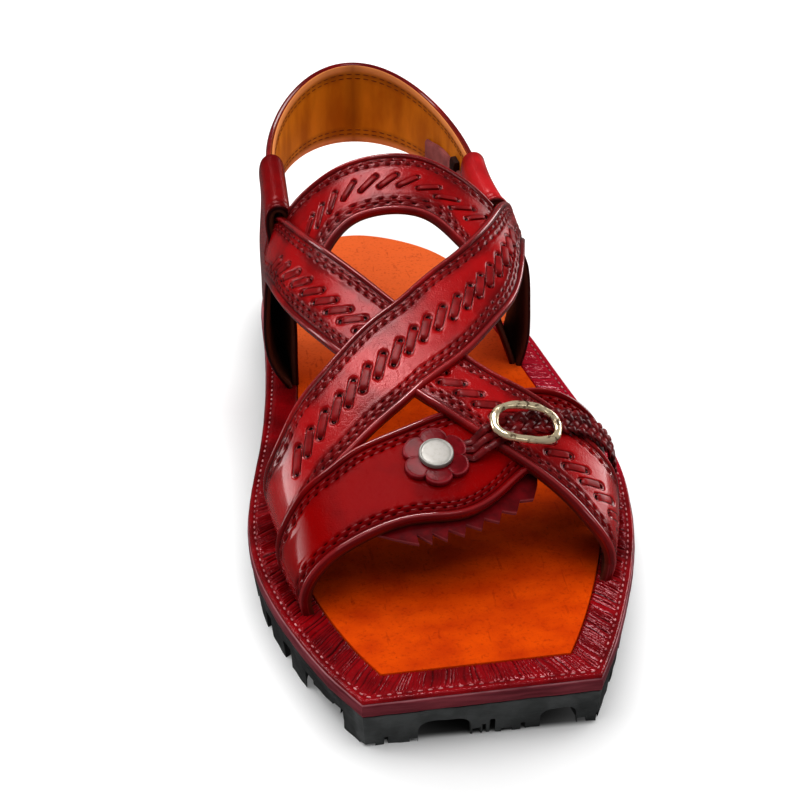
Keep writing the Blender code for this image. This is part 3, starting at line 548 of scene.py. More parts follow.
@dataclass(frozen=True)
class LiningLeather:
    """Undyed tan leather, streaked along its length, with painted shade in its seams and furrows."""

    name: str = "tan_lining"
    light: Colour = (0.66, 0.225, 0.012)
    dark: Colour = (0.42, 0.118, 0.003)
    seam_shade: Colour = (0.12, 0.026, 0.003)
    turned: Colour = (0.68, 0.27, 0.11)

    def material(self) -> bpy.types.Material:
        """The lining's nodes, from the painted shade mark and the mark turned."""
        nodes = Nodes(self.name)
        streaks = nodes.noise(9.0, 4.0, nodes.stretched((1.0, 1.0, 0.35)))
        colour = nodes.mix(streaks.between(0.3, 0.75), self.dark, self.light)
        # Paler turned edges, which also paint the highlight on the rolled top.
        colour = nodes.mix(nodes.mark("turned") * 0.7, colour, self.turned)
        # Painted shade in the stitch furrows and the middle fold.
        colour = nodes.mix(nodes.mark("painted_shade"), colour, self.seam_shade)
        nodes.shade(Base_Color=colour, Roughness=0.45 + streaks * 0.2, Specular_IOR_Level=0.06)
        nodes.bump(nodes.noise(0.7, 3.0), 0.1, 0.4)
        return nodes.material


@dataclass(frozen=True)
class RandLeather:
    """Thin crimson leather, waxed, with painted shade in the valleys of its pleats and painted light at the
    lateral waist.
    """

    name: str = "crimson_rand"
    bright: Colour = (0.27, 0.0020, 0.006)
    deep: Colour = (0.11, 0.0010, 0.0030)
    valley_shade: Colour = (0.016, 0.0004, 0.0010)
    waist_light: Colour = (0.42, 0.003, 0.024)
    sheen: Colour = (1.0, 0.55, 0.6)

    def material(self) -> bpy.types.Material:
        """The rand's nodes, from the painted shade mark, with painted light at the lateral waist."""
        nodes = Nodes(self.name)
        patches = nodes.noise(14.0, 3.0)
        colour = nodes.mix(patches.between(0.3, 0.7), self.deep, self.bright)
        # Painted light: a brighter patch at the lateral waist.
        waist_light = nodes.axis("X").between(0.02, 0.04) * nodes.axis("Y").between(-0.05, -0.02)
        colour = nodes.mix(waist_light * 0.8, colour, self.waist_light)
        # Painted shade in the pleats' valleys and the stitch furrow.
        colour = nodes.mix(nodes.mark("painted_shade").between(0.1, 1.0), colour, self.valley_shade)
        nodes.shade(Base_Color=colour, Roughness=0.12 + patches * 0.08)
        nodes.shade(Specular_IOR_Level=0.5, Specular_Tint=self.sheen)
        nodes.bump(nodes.noise(1.1, 3.0), 0.35, 0.6)
        return nodes.material


@dataclass(frozen=True)
class InsoleLeather:
    """Smooth orange leather with pores, faint streaks along the foot, a few pressed marks and a painted
    reflection on the heel.
    """

    name: str = "orange_insole"
    light: Colour = (0.64, 0.076, 0.0)
    dark: Colour = (0.44, 0.036, 0.0)
    pore: Colour = (0.20, 0.012, 0.0)
    heel: Colour = (0.66, 0.135, 0.038)

    def material(self) -> bpy.types.Material:
        """The insole's nodes."""
        nodes = Nodes(self.name)
        streaks = nodes.noise(11.0, 6.0, nodes.stretched((1.0, 1.3, 1.0)))
        fine = nodes.noise(1.0, 4.0)
        pores = nodes.cells(2.6).between(0.16, 0.03) * nodes.noise(6.0).between(0.42, 0.62)
        scratches = nodes.noise(7.0, 2.0, nodes.stretched((5.0, 0.7, 1.0), 0.5)).between(0.66, 0.72)
        colour = nodes.mix(streaks.between(0.15, 0.85), self.dark, self.light)
        # Painted reflection: the heel paler and more salmon.
        colour = nodes.mix(nodes.axis("Y").between(0.02, 0.07) * 0.8, colour, self.heel)
        marks = pores * 0.35 + scratches * 0.25 + fine.between(0.5, 0.8) * 0.42
        colour = nodes.mix(marks, colour, self.pore)
        nodes.shade(Base_Color=colour, Roughness=0.5 + streaks * 0.15, Specular_IOR_Level=0.03)
        nodes.bump(fine + nodes.noise(5.0) * 0.6, 0.14, 0.6)
        return nodes.material


@dataclass(frozen=True)
class SoleEdge:
    """Dyed and waxed cut edge of the midsole, with faint layers along it and a painted highlight line along
    its top.
    """

    name: str = "maroon_edge"
    light: Colour = (0.21, 0.032, 0.045)
    dark: Colour = (0.11, 0.010, 0.018)
    top_highlight: Colour = (0.42, 0.17, 0.19)

    def material(self) -> bpy.types.Material:
        """The edge's nodes."""
        nodes = Nodes(self.name)
        layers = nodes.noise(5.0, 4.0, nodes.stretched((0.25, 0.25, 3.0)))
        colour = nodes.mix(layers.between(0.3, 0.7), self.dark, self.light)
        # Painted highlight: a pale line along the top edge, broken by the layers.
        top = nodes.axis("Z").between((MIDSOLE_TOP - 0.75) * MM, (MIDSOLE_TOP - 0.3) * MM)
        colour = nodes.mix(top * layers.between(0.2, 0.5) * 0.7, colour, self.top_highlight)
        nodes.shade(Base_Color=colour, Roughness=0.32 + layers * 0.15, Specular_IOR_Level=0.25)
        nodes.bump(layers + nodes.noise(1.2, 3.0) * 0.5, 0.2, 0.5)
        return nodes.material


@dataclass(frozen=True)
class TyreRubber:
    """Cut and worn tyre rubber: near black, greyer and scuffed where the knife and the road went."""

    name: str = "tyre_rubber_worn"
    black: Colour = (0.022, 0.023, 0.023)
    grey: Colour = (0.075, 0.078, 0.078)

    def material(self) -> bpy.types.Material:
        """The rubber's nodes."""
        nodes = Nodes(self.name)
        scuffs = nodes.noise(7.0, 5.0)
        cuts = nodes.noise(2.0, 3.0, nodes.stretched((0.5, 0.5, 2.4)))
        toe = nodes.axis("Y").between(-0.1335, -0.1365)
        # Real wear only: greyer where scuffed and on the knife-cut toe face.
        wear_and_highlight = scuffs.between(0.35, 0.75) * 0.45 + toe * (0.35 + scuffs * 0.4) + cuts * 0.15
        colour = nodes.mix(wear_and_highlight.between(0.0, 1.0), self.black, self.grey)
        nodes.shade(Base_Color=colour, Roughness=0.5 + scuffs * 0.3, Specular_IOR_Level=0.2)
        nodes.bump(cuts + scuffs * 0.8, 0.35, 0.6)
        return nodes.material


@dataclass(frozen=True)
class PlainLeather:
    """Leather of one dye with a soft mottle, for small pieces."""

    name: str
    light: Colour
    dark: Colour
    roughness: float = 0.38
    shine: float = 0.3

    def material(self) -> bpy.types.Material:
        """The leather's nodes, darker by the painted shade mark and paler by the painted highlight mark."""
        nodes = Nodes(self.name)
        mottle = nodes.noise(3.5, 4.0)
        colour = nodes.mix(mottle.between(0.3, 0.7), self.dark, self.light)
        # Painted shade where marked.
        colour = nodes.mix(nodes.mark("painted_shade"), colour, tuple(0.25 * c for c in self.dark))
        # Painted highlight where marked: pale lines on rims and edges.
        colour = nodes.mix(nodes.mark("wear_and_highlight"), colour, tuple(0.08 + 1.6 * c for c in self.light))
        nodes.shade(Base_Color=colour, Roughness=self.roughness + mottle * 0.1)
        nodes.shade(Specular_IOR_Level=self.shine)
        nodes.bump(nodes.noise(0.6, 3.0), 0.1, 0.4)
        return nodes.material


@dataclass(frozen=True)
class Metal:
    """Cast metal with dark pits and a brushed or tumbled face."""

    name: str
    colour: Colour
    pit: Colour
    roughness: float
    pit_size: float = 2.2
    pit_share: float = 0.5
    metallic: float = 0.6

    def material(self) -> bpy.types.Material:
        """The metal's nodes."""
        nodes = Nodes(self.name)
        pits = nodes.noise(self.pit_size, 3.0).between(0.54, 0.62) * self.pit_share
        colour = nodes.mix(pits, self.colour, self.pit)
        nodes.shade(Base_Color=colour, Metallic=self.metallic, Roughness=self.roughness + pits * 0.3)
        nodes.bump(nodes.noise(2.4, 1.0) - pits * 0.6, 0.05, 0.4)
        return nodes.material


@dataclass(frozen=True)
class Floor:
    """Pale matt sheet of the studio floor, with a painted shadow under the sole and a painted glow that
    fades out close round the sole.
    """

    name: str = "floor_paper"
    colour: Colour = (0.72, 0.72, 0.72)
    glow: float = 0.30
    shade_reach: Pair = (0.040, 0.1405)

    def material(self) -> bpy.types.Material:
        """The paper's nodes."""
        nodes = Nodes(self.name)
        fleck = nodes.noise(60.0, 2.0)
        shades = nodes.mix(fleck, tuple(0.985 * c for c in self.colour), self.colour)
        nodes.shade(Roughness=0.85, Specular_IOR_Level=0.0)
        side, ahead = nodes.axis("X"), nodes.axis("Y")
        # Painted shadow: black under the sole, seen through the tread.
        painted_sole_shadow = (side * side).between(0.0011, 0.0009) * ahead.between(-0.1372, -0.1340)
        painted_sole_shadow = painted_sole_shadow * ahead.between(0.095, 0.09)
        nodes.shade(Base_Color=nodes.mix(painted_sole_shadow * 0.9, shades, (0.0, 0.0, 0.0)))
        # Painted glow: the floor emits light except close round the sole, which paints a soft contact
        # shadow.
        across, along = (place / reach for place, reach in zip((side, ahead), self.shade_reach))
        clear = (across * across + along * along).between(0.8, 3.2)
        nodes.shade(Emission_Color=nodes.mix(clear, (0.0, 0.0, 0.0), (1.0, 1.0, 1.0)))
        nodes.shade(Emission_Strength=self.glow)
        return nodes.material


RED_LEATHER = StrapLeather("red_leather_polished")
VAMP_LEATHER = StrapLeather("red_leather_vamp", bright=(0.235, 0.0010, 0.0014), shine=0.03)
# Lit copy of the red leather: brighter, as painted light on the lateral loop.
LIT_LOOP_LEATHER = StrapLeather("red_leather_lit", bright=(0.48, 0.014, 0.018), deep=(0.26, 0.006, 0.008))
# Shaded copy of the red leather: darker, as painted shade on the medial loop.
SHADED_LEATHER = StrapLeather("red_leather_shaded", bright=(0.21, 0.0016, 0.003), shine=0.3)
HEEL_LEATHER = StrapLeather("red_leather_heel", bright=(0.27, 0.003, 0.004), deep=(0.14, 0.0016, 0.003))
LACE_LEATHER = PlainLeather("lace_leather", (0.25, 0.006, 0.008), (0.15, 0.003, 0.004), 0.3, 0.14)
DARK_THREAD = PlainLeather("dark_thread", (0.012, 0.0008, 0.001), (0.004, 0.0003, 0.0004), 0.5, 0.06)
# Pale thread colour that paints the glints on the rand's stitches.
PALE_GLINT_THREAD = PlainLeather("pale_glint_thread", (0.62, 0.30, 0.30), (0.28, 0.05, 0.06), 0.5, 0.1)
WAXED_THREAD = PlainLeather("waxed_thread", (0.22, 0.010, 0.012), (0.09, 0.004, 0.005), 0.35, 0.15)
TAN_THREAD = PlainLeather("brown_thread", (0.22, 0.06, 0.012), (0.12, 0.03, 0.006), 0.6, 0.1)
TRIM_LEATHER = PlainLeather("burgundy_trim", (0.14, 0.003, 0.006), (0.08, 0.002, 0.004), 0.5, 0.05)
BRAID_LEATHER = PlainLeather("braid_strips", (0.16, 0.004, 0.006), (0.05, 0.0015, 0.0025), 0.26, 0.22)
FLOWER_LEATHER = PlainLeather("flower_leather_cut", (0.20, 0.003, 0.009), (0.12, 0.002, 0.005), 0.22, 0.1)
TAB_LEATHER = PlainLeather("tab_leather", (0.34, 0.10, 0.095), (0.22, 0.06, 0.06), 0.55, 0.2)
KEEPER_LEATHER = PlainLeather("keeper_leather", (0.03, 0.010, 0.008), (0.015, 0.005, 0.004), 0.5, 0.2)
BRASS = Metal("pale_brass", (0.84, 0.70, 0.48), (0.06, 0.026, 0.009), 0.16, 1.5, 0.9, 0.7)
SILVER = Metal("plain_silver", (0.29, 0.275, 0.255), (0.25, 0.235, 0.21), 0.45, 0.9, 0.25)

Finish = (StrapLeather | LiningLeather | RandLeather | InsoleLeather | SoleEdge | TyreRubber
          | PlainLeather | Metal | Floor)


def add_object(name: str, data: bpy.types.ID) -> bpy.types.Object:
    """New object of a mesh, a light or a camera, at the origin and in the scene."""
    made = bpy.data.objects.new(name, data)
    bpy.context.collection.objects.link(made)
    return made


def closed_mesh(name: str, points: Array, faces: list[list[int]] | Array) -> bpy.types.Mesh:
    """Mesh of millimetre points in the foot's lines, its faces turned outwards."""
    mesh = bpy.data.meshes.new(name)
    rows = faces.tolist() if isinstance(faces, np.ndarray) else faces
    mesh.from_pydata(place(points).tolist(), [], rows)
    work = bmesh.new()
    work.from_mesh(mesh)
    bmesh.ops.recalc_face_normals(work, faces=work.faces)
    work.to_mesh(mesh)
    work.free()
    return mesh


def add_piece(name: str, points: Array, faces: list[list[int]] | Array, finish: Finish, slot: str,
              stands_for: str | None = None, marks: dict[str, Array] | None = None) -> bpy.types.Object:
    """Make a piece of the sandal from its points and faces.

    Args:
        name: The piece's name.
        points: Millimetre points in the foot's lines.
        faces: Point numbers of each face.
        finish: What it is made of.
        slot: The record's material slot; not used.
        stands_for: The solid that it shows in place of.
        marks: Numbers kept on the points for the finish.

    Returns:
        The piece's object, riding on the sandal.
    """
    mesh = closed_mesh(name, points, faces)
    for mark, values in (marks or {}).items():
        layer = mesh.attributes.new(mark, "FLOAT", "POINT")
        layer.data.foreach_set("value", np.asarray(values, np.float32).ravel())
    mesh.materials.append(bpy.data.materials.get(finish.name) or finish.material())
    mesh.shade_smooth()
    mesh.set_sharp_from_angle(angle=SMOOTH_ANGLE)
    piece = add_object(name, mesh)
    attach(piece, BODY)
    if stands_for:
        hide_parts(stands_for)
    LOG.info("%s: %d faces", name, len(mesh.polygons))
    return piece


@dataclass(frozen=True)
class FootForm:
    """The last: a leaning wall up to the widest place of each side, then a full arch over the ridge."""

    table: Array

    def point(self, share: Array, station: Array) -> Array:
        """Point of the last.

        The wall leans out from the foot to the side by a sine. The arch is a half ellipse made fuller
        or leaner by a share of its sine and cosine squared.

        Args:
            share: Across the foot, 0 at the medial sole edge and 1 at the lateral one.
            station: Place along the foot.

        Returns:
            Points, one for each pair.
        """
        share, station = np.broadcast_arrays(np.asarray(share, float), np.asarray(station, float))
        at = {name: column(self.table, name)(station) for name in self.table.dtype.names[1:]}
        medial = share < 0.5
        half = np.where(medial, share, 1.0 - share)
        foot = np.where(medial, at["foot_medial"], at["foot_lateral"])
        side = np.where(medial, at["side_medial"], at["side_lateral"])
        turn = np.minimum(half / SIDE_TURN, 1.0)
        angle = np.pi * np.clip((half - SIDE_TURN) / (1.0 - 2.0 * SIDE_TURN), 0.0, 1.0)
        arch_x = np.cos(angle) * (1.0 + at["fullness"] * np.sin(angle) ** 2)
        arch_z = np.sin(angle) * (1.0 + at["fullness"] * np.cos(angle) ** 2)
        low = half < SIDE_TURN
        wall = foot + (side - foot) * np.sin(np.pi / 2.0 * turn)
        x = np.where(low, wall, at["ridge"] + (side - at["ridge"]) * arch_x)
        rise = np.where(low, at["side_share"] * turn, at["side_share"] + (1.0 - at["side_share"]) * arch_z)
        return np.stack([x, station, FOOT_LEVEL + at["height"] * rise], axis=-1)

    def frame(self, share: Array, station: Array) -> tuple[Array, Array, Array]:
        """Unit vectors of the last there: across the foot, along the foot and outwards."""
        aside, step = 0.002, 0.5
        across = unit(self.point(share + aside, station) - self.point(share - aside, station))
        along = self.point(share, station + step) - self.point(share, station - step)
        out = unit(np.cross(across, along))
        return across, np.cross(out, across), out

    def surface(self, share: Array, station: Array, lift: Array) -> Array:
        """Point the given lift outside the last, never below the sole, on which the feet end."""
        share, station, lift = np.broadcast_arrays(share, station, lift)
        point = self.point(share, station) + self.frame(share, station)[2] * lift[..., None]
        ends = (share <= 0.0) | (share >= 1.0)
        point[..., 2] = np.where(ends, FEET_END, np.maximum(point[..., 2], FEET_END))
        return point


FOOT = FootForm(LAST)


def seat(local: Array, where: Pair, lift: float) -> Array:
    """Points in a fitting's own axes set on the last: X across the foot, Y along it, Z outwards."""
    axes = np.stack(FOOT.frame(*where))
    origin = FOOT.point(*where) + axes[2] * lift
    return origin + np.asarray(local, float).reshape(-1, 3) @ axes


@dataclass(frozen=True)
class EdgeWork:
    """How a long edge of a strap is worked, in millimetres square to the edge."""

    roll: float = 0.55
    roll_width: float = 1.7
    lines: tuple[float, ...] = (3.2, 4.9)
    pitch: float = 3.5
    bead: float = 0.22
    crease: float = 0.42
    crease_in: float = 0.5
    dent: float = 0.55
    dent_width: float = 0.36

    def relief(self, distance: Array, run: Array) -> Array:
        """Height that the edge adds: a rolled rim, a crease behind it, dented stitch lines and beads."""
        rim = self.roll * bell(distance, 0.6 * self.roll_width, 0.5 * self.roll_width)
        crease = -self.crease * bell(distance, self.roll_width + self.crease_in, self.dent_width)
        rope = self.bead * bell(distance, sum(self.lines) / len(self.lines), 0.5)
        outer_rope = 0.6 * self.bead * bell(distance, self.lines[-1] + 0.9, 0.5)
        return rim + crease + rope + outer_rope - self.dent * self.dents(distance, run)

    def dents(self, distance: Array, run: Array) -> Array:
        """Depth from 0 to 1 of the stitch lines: a shallow furrow with a dent under each stitch."""
        depth = np.zeros_like(distance)
        for k, line in enumerate(self.lines):
            pulse = 0.5 - 0.5 * np.cos(2.0 * np.pi * (run / self.pitch + 0.5 * k))
            depth = depth + bell(distance, line, self.dent_width) * (0.06 + 0.94 * pulse ** 1.8)
        return depth

    def shade(self, distance: Array, run: Array) -> Array:
        """Painted shade from 0 to 1: darkness in the crease behind the rim and in the dents."""
        crease = 0.75 * bell(distance, self.roll_width + self.crease_in, 0.34)
        return np.maximum(crease, self.dents(distance, run))


@dataclass(frozen=True)
class Lacing:
    """A row of flat laces between two lines along a strap.

    first and last are shares across the foot, low and high the lines' shares of the strap's width. Slide
    is how far a lace leans along the strap, bed how deep the leather is pressed round it, sink how deep
    at its holes, dive how far its ends go down and overlap how far past the holes, in millimetres.
    """

    first: float
    last: float
    low: float
    high: float
    pitch: float
    slide: float
    width: float
    rise: float
    outline: float = 0.26
    bed: float = 0.25
    sink: float = 0.9
    bed_shade: float = 0.85
    sink_shade: float = 1.4
    half_thick: float = 0.4
    dive: float = 1.7
    overlap: float = 0.4


@dataclass(frozen=True)
class Strap:
    """A strap on the last between its two edges, with worked edges, stitches and lacing."""

    name: str
    table: Array
    lift_table: Array
    front_edge: EdgeWork
    back_edge: EdgeWork
    lacing: Lacing | None = None
    rows: int = 330
    middles: int = 36
    leather: StrapLeather = RED_LEATHER
    crown: float = 0.35
    corner: float = 1.1
    worked_share: float = 0.42
    inner_rows: int = 12
    inner_inset: float = 0.3
    stitch: Triple = (1.9, 0.62, 0.6)

    def stations(self, share: Array, over: Array) -> Array:
        """Station at a share across the foot and a share from the front edge to the back one."""
        front = column(self.table, "front")(share)
        return front + (column(self.table, "back")(share) - front) * over

    def lift(self, share: Array, station: Array) -> Array:
        """How far the strap's inner face stands off the last."""
        by_share = self.lift_table.dtype.names[0] == "share"
        return eased(self.lift_table, share + 0.0 * station if by_share else station)

    def spans(self, share: Array) -> dict[str, Array]:
        """What turns a share of the strap's width into true distances.

        A line of equal share crosses the strap at a slant, so for each edge there is the cosine that
        makes a distance along that line square to the edge, and the slide along the edge that goes with it.

        Args:
            share: Column of shares.

        Returns:
            Columns: span, and for each edge its square, slide and run.
        """
        line = FOOT.point(share, self.stations(share, np.linspace(0.0, 1.0, 15)[None, :]))
        found = {"span": np.linalg.norm(np.diff(line, axis=1), axis=2).sum(axis=1, keepdims=True)}
        for edge, first, second in (("front", 0, 1), ("back", -2, -1)):
            path = line[:, 0 if edge == "front" else -1]
            cross = unit(line[:, second] - line[:, first])
            slide = np.sum(unit(np.gradient(path, axis=0)) * cross, axis=1, keepdims=True)
            found[edge + "_slide"] = slide
            found[edge + "_square"] = np.sqrt(np.maximum(1.0 - slide ** 2, 0.05))
            found[edge + "_run"] = lengths(path)[:, None]
        return found

    def make(self) -> None:
        """Build the strap's skin, its stitches and its laces."""
        self.make_skin()
        self.make_stitches()
        if self.lacing:
            self.make_laces(self.lacing)

    def make_skin(self) -> None:
        """The strap itself: rings across it, outer face then inner face, carried along the shares."""
        share = np.linspace(self.table["share"][0], self.table["share"][-1], self.rows)[:, None]
        spans = self.spans(share)
        near = WORKED_ROWS
        width_front = spans["span"] * spans["front_square"]
        width_back = spans["span"] * spans["back_square"]
        fore = np.minimum(near / width_front, self.worked_share * near / near[-1])
        aft = 1.0 - np.minimum(near / width_back, self.worked_share * near / near[-1])[:, ::-1]
        middle = fore[:, -1:] + (aft[:, :1] - fore[:, -1:]) * self.middle_shares()[None, 1:-1]
        over = np.concatenate([fore, middle, aft], axis=1)
        from_front = over * width_front
        from_back = (1.0 - over) * width_back
        run_front = spans["front_run"] + over * spans["span"] * spans["front_slide"]
        run_back = spans["back_run"] - (1.0 - over) * spans["span"] * spans["back_slide"]
        edge = np.minimum(from_front, from_back)
        # Painted shade in the crease behind each rim and in the stitch dents.
        painted_shade = np.maximum(self.front_edge.shade(from_front, run_front),
                            self.back_edge.shade(from_back, run_back))
        relief = self.front_edge.relief(from_front, run_front) + self.back_edge.relief(from_back, run_back)
        station = self.stations(share, over)
        lift = self.lift(share, station)
        if self.lacing:
            skin = FOOT.surface(share, station, lift + STRAP_THICKNESS)
            around, sunk = self.lace_marks(self.lacing, skin)
            # Painted shade round each lace and in its holes.
            lace_shade = np.maximum(self.lacing.bed_shade * around, self.lacing.sink_shade * sunk)
            painted_shade = np.maximum(painted_shade, lace_shade)
            relief = relief - self.lacing.bed * around - self.lacing.sink * sunk
        rounded = rounded_off(edge, self.corner)
        swell = self.crown * (1.0 - np.abs(2.0 * over - 1.0) ** 3)
        outer = FOOT.surface(share, station, lift + STRAP_THICKNESS + relief + swell - rounded)
        tuck = np.linspace(1.0, 0.0, self.inner_rows)[None, :]
        tuck = np.clip(tuck, self.inner_inset / width_front, 1.0 - self.inner_inset / width_back)
        under = self.stations(share, tuck)
        inner = FOOT.surface(share, under, self.lift(share, under) + 0.0 * tuck)
        marks = {
            "edge": np.hstack([edge, FAR_FROM_EDGE + 0.0 * tuck]),
            "painted_shade": np.hstack([painted_shade, 0.0 * tuck]),
            "inside": np.hstack([0.0 * edge, 1.0 + 0.0 * tuck]),
        }
        points = np.concatenate([outer, inner], axis=1)
        faces = sleeve_faces(*points.shape[:2])
        add_piece(self.name, points, faces, self.leather, "red_leather", "upper", marks)

    def middle_shares(self) -> Array:
        """Even shares between the worked edges, closer together where a lacing runs."""
        shares = np.linspace(0.0, 1.0, self.middles)
        if not self.lacing:
            return shares
        pull = bell(shares, 0.5, 0.24)
        run = np.cumsum(1.0 / (1.0 + 2.2 * pull))
        return (run - run[0]) / (run[-1] - run[0])

    def make_stitches(self) -> None:
        """Waxed stitches between both edges' slits: a small bar every pitch along each line."""
        share = np.linspace(self.table["share"][0], self.table["share"][-1], 400)[:, None]
        spans = self.spans(share)
        origins, axes = [], []
        for edge, work, sign in (("front", self.front_edge, 1.0), ("back", self.back_edge, -1.0)):
            for k, line in enumerate(work.lines):
                reach = line / spans[edge + "_square"]
                run = (spans[edge + "_run"] + sign * reach * spans[edge + "_slide"]).ravel()
                at = np.arange(1.0 - 0.5 * k, run[-1] / work.pitch) * work.pitch
                at = at[(at > run[0]) & (at < run[-1])]
                inset = (reach / spans["span"]).ravel()
                over = inset if edge == "front" else 1.0 - inset
                found = []
                for slip in (-0.4, 0.0, 0.4):
                    where = np.interp(at + slip, run, share.ravel())
                    station = self.stations(where, np.interp(where, share.ravel(), over))
                    found.append((where, station))
                lift = self.lift(*found[1]) + STRAP_THICKNESS
                before, here, after = (FOOT.surface(*spot, lift) for spot in found)
                out = FOOT.frame(*found[1])[2]
                ahead = unit(after - before)
                origins.append(here + 0.05 * out)
                axes.append(stitch_axes(ahead, out))
        points, faces = copies(*pill(*self.stitch), np.concatenate(origins), np.concatenate(axes))
        add_piece(self.name + "_stitches", points, faces, WAXED_THREAD, "red_leather")

    def line(self, share: Array, over: float) -> Array:
        """Points of the outer face along a line at one share of the strap's width."""
        station = self.stations(share, np.full_like(share, over))
        return FOOT.surface(share, station, self.lift(share, station) + STRAP_THICKNESS)

    def lace_shares(self, lacing: Lacing) -> tuple[Array, Array]:
        """Share across the foot of every low hole, evenly spaced along the strap, and of its high hole.

        A high hole lies on the high line as far along as the point nearest to its low hole, plus the slide.

        Args:
            lacing: The row of laces.

        Returns:
            Shares of the low holes and of the high ones.
        """
        fine = np.linspace(self.table["share"][0], self.table["share"][-1], 900)
        low_line, high_line = (self.line(fine, over) for over in (lacing.low, lacing.high))
        low_run, high_run = lengths(low_line), lengths(high_line)
        start, end = np.interp((lacing.first, lacing.last), fine, low_run)
        low = np.interp(np.arange(start, end, lacing.pitch), low_run, fine)
        away = np.linalg.norm(self.line(low, lacing.low)[:, None] - high_line[None], axis=2)
        return low, np.interp(high_run[np.argmin(away, axis=1)] + lacing.slide, high_run, fine)

    def holes(self, lacing: Lacing) -> tuple[Array, Array]:
        """Middle of every low hole and every high hole, on the strap's outer face."""
        low, high = self.lace_shares(lacing)
        return self.line(low, lacing.low), self.line(high, lacing.high)

    def lace_marks(self, lacing: Lacing, skin: Array) -> tuple[Array, Array]:
        """How near each point is to a lace's outline and to a hole.

        Args:
            lacing: The row of laces.
            skin: Points of the strap's outer face.

        Returns:
            Shares from 0 to 1: on the line round a lace, and in a hole at a lace's end.
        """
        low, high = self.holes(lacing)
        gap = np.full(skin.shape[:2], 99.0)
        end = gap.copy()
        for start, stop in zip(low, high):
            axis = stop - start
            along = np.clip((skin - start) @ axis / (axis @ axis), 0.0, 1.0)
            gap = np.minimum(gap, np.linalg.norm(skin - start - along[..., None] * axis, axis=-1))
            ends = [np.linalg.norm(skin - tip, axis=-1) for tip in (start, stop)]
            end = np.minimum(end, np.minimum(*ends))
        return bell(gap, 0.5 * lacing.width + 0.12, lacing.outline), bell(end, 0.0, 0.4 * lacing.width)

    def make_laces(self, lacing: Lacing) -> None:
        """Flat laces: an oval section carried from hole to hole, both ends diving into the strap."""
        low, high = self.holes(lacing)
        share = sum(self.lace_shares(lacing)) / 2.0
        station = self.stations(share, np.full_like(share, (lacing.low + lacing.high) / 2.0))
        out = FOOT.frame(share, station)[2]
        ahead = unit(high - low)
        side = unit(np.cross(out, ahead))
        axes = np.stack([ahead, side, np.cross(ahead, side)], axis=1)
        reach = float(np.mean(np.linalg.norm(high - low, axis=1)))
        rows, ring = 13, 10
        along = np.linspace(-1.0, 1.0, rows)[:, None]
        turn = full_turn(ring)[None, :]
        rise = lacing.rise * (1.0 - np.abs(along) ** 3) + self.crown * 0.8
        rise = rise - lacing.dive * np.abs(along) ** 9
        narrow = np.sqrt(1.0 - 0.85 * np.abs(along) ** 4)
        flat = np.sign(np.cos(turn)) * np.abs(np.cos(turn)) ** 0.6
        thick = np.sign(np.sin(turn)) * np.abs(np.sin(turn)) ** 0.7
        x = along * (reach + lacing.overlap) / 2.0 + 0.0 * turn
        y = flat * narrow * lacing.width / 2.0
        z = rise + thick * lacing.half_thick
        shape = np.stack([x, y, z], axis=-1).reshape(-1, 3)
        points, faces = copies(shape, tube_faces(rows, ring), (low + high) / 2.0, axes)
        add_piece(self.name + "_laces", points, faces, LACE_LEATHER, "red_leather")


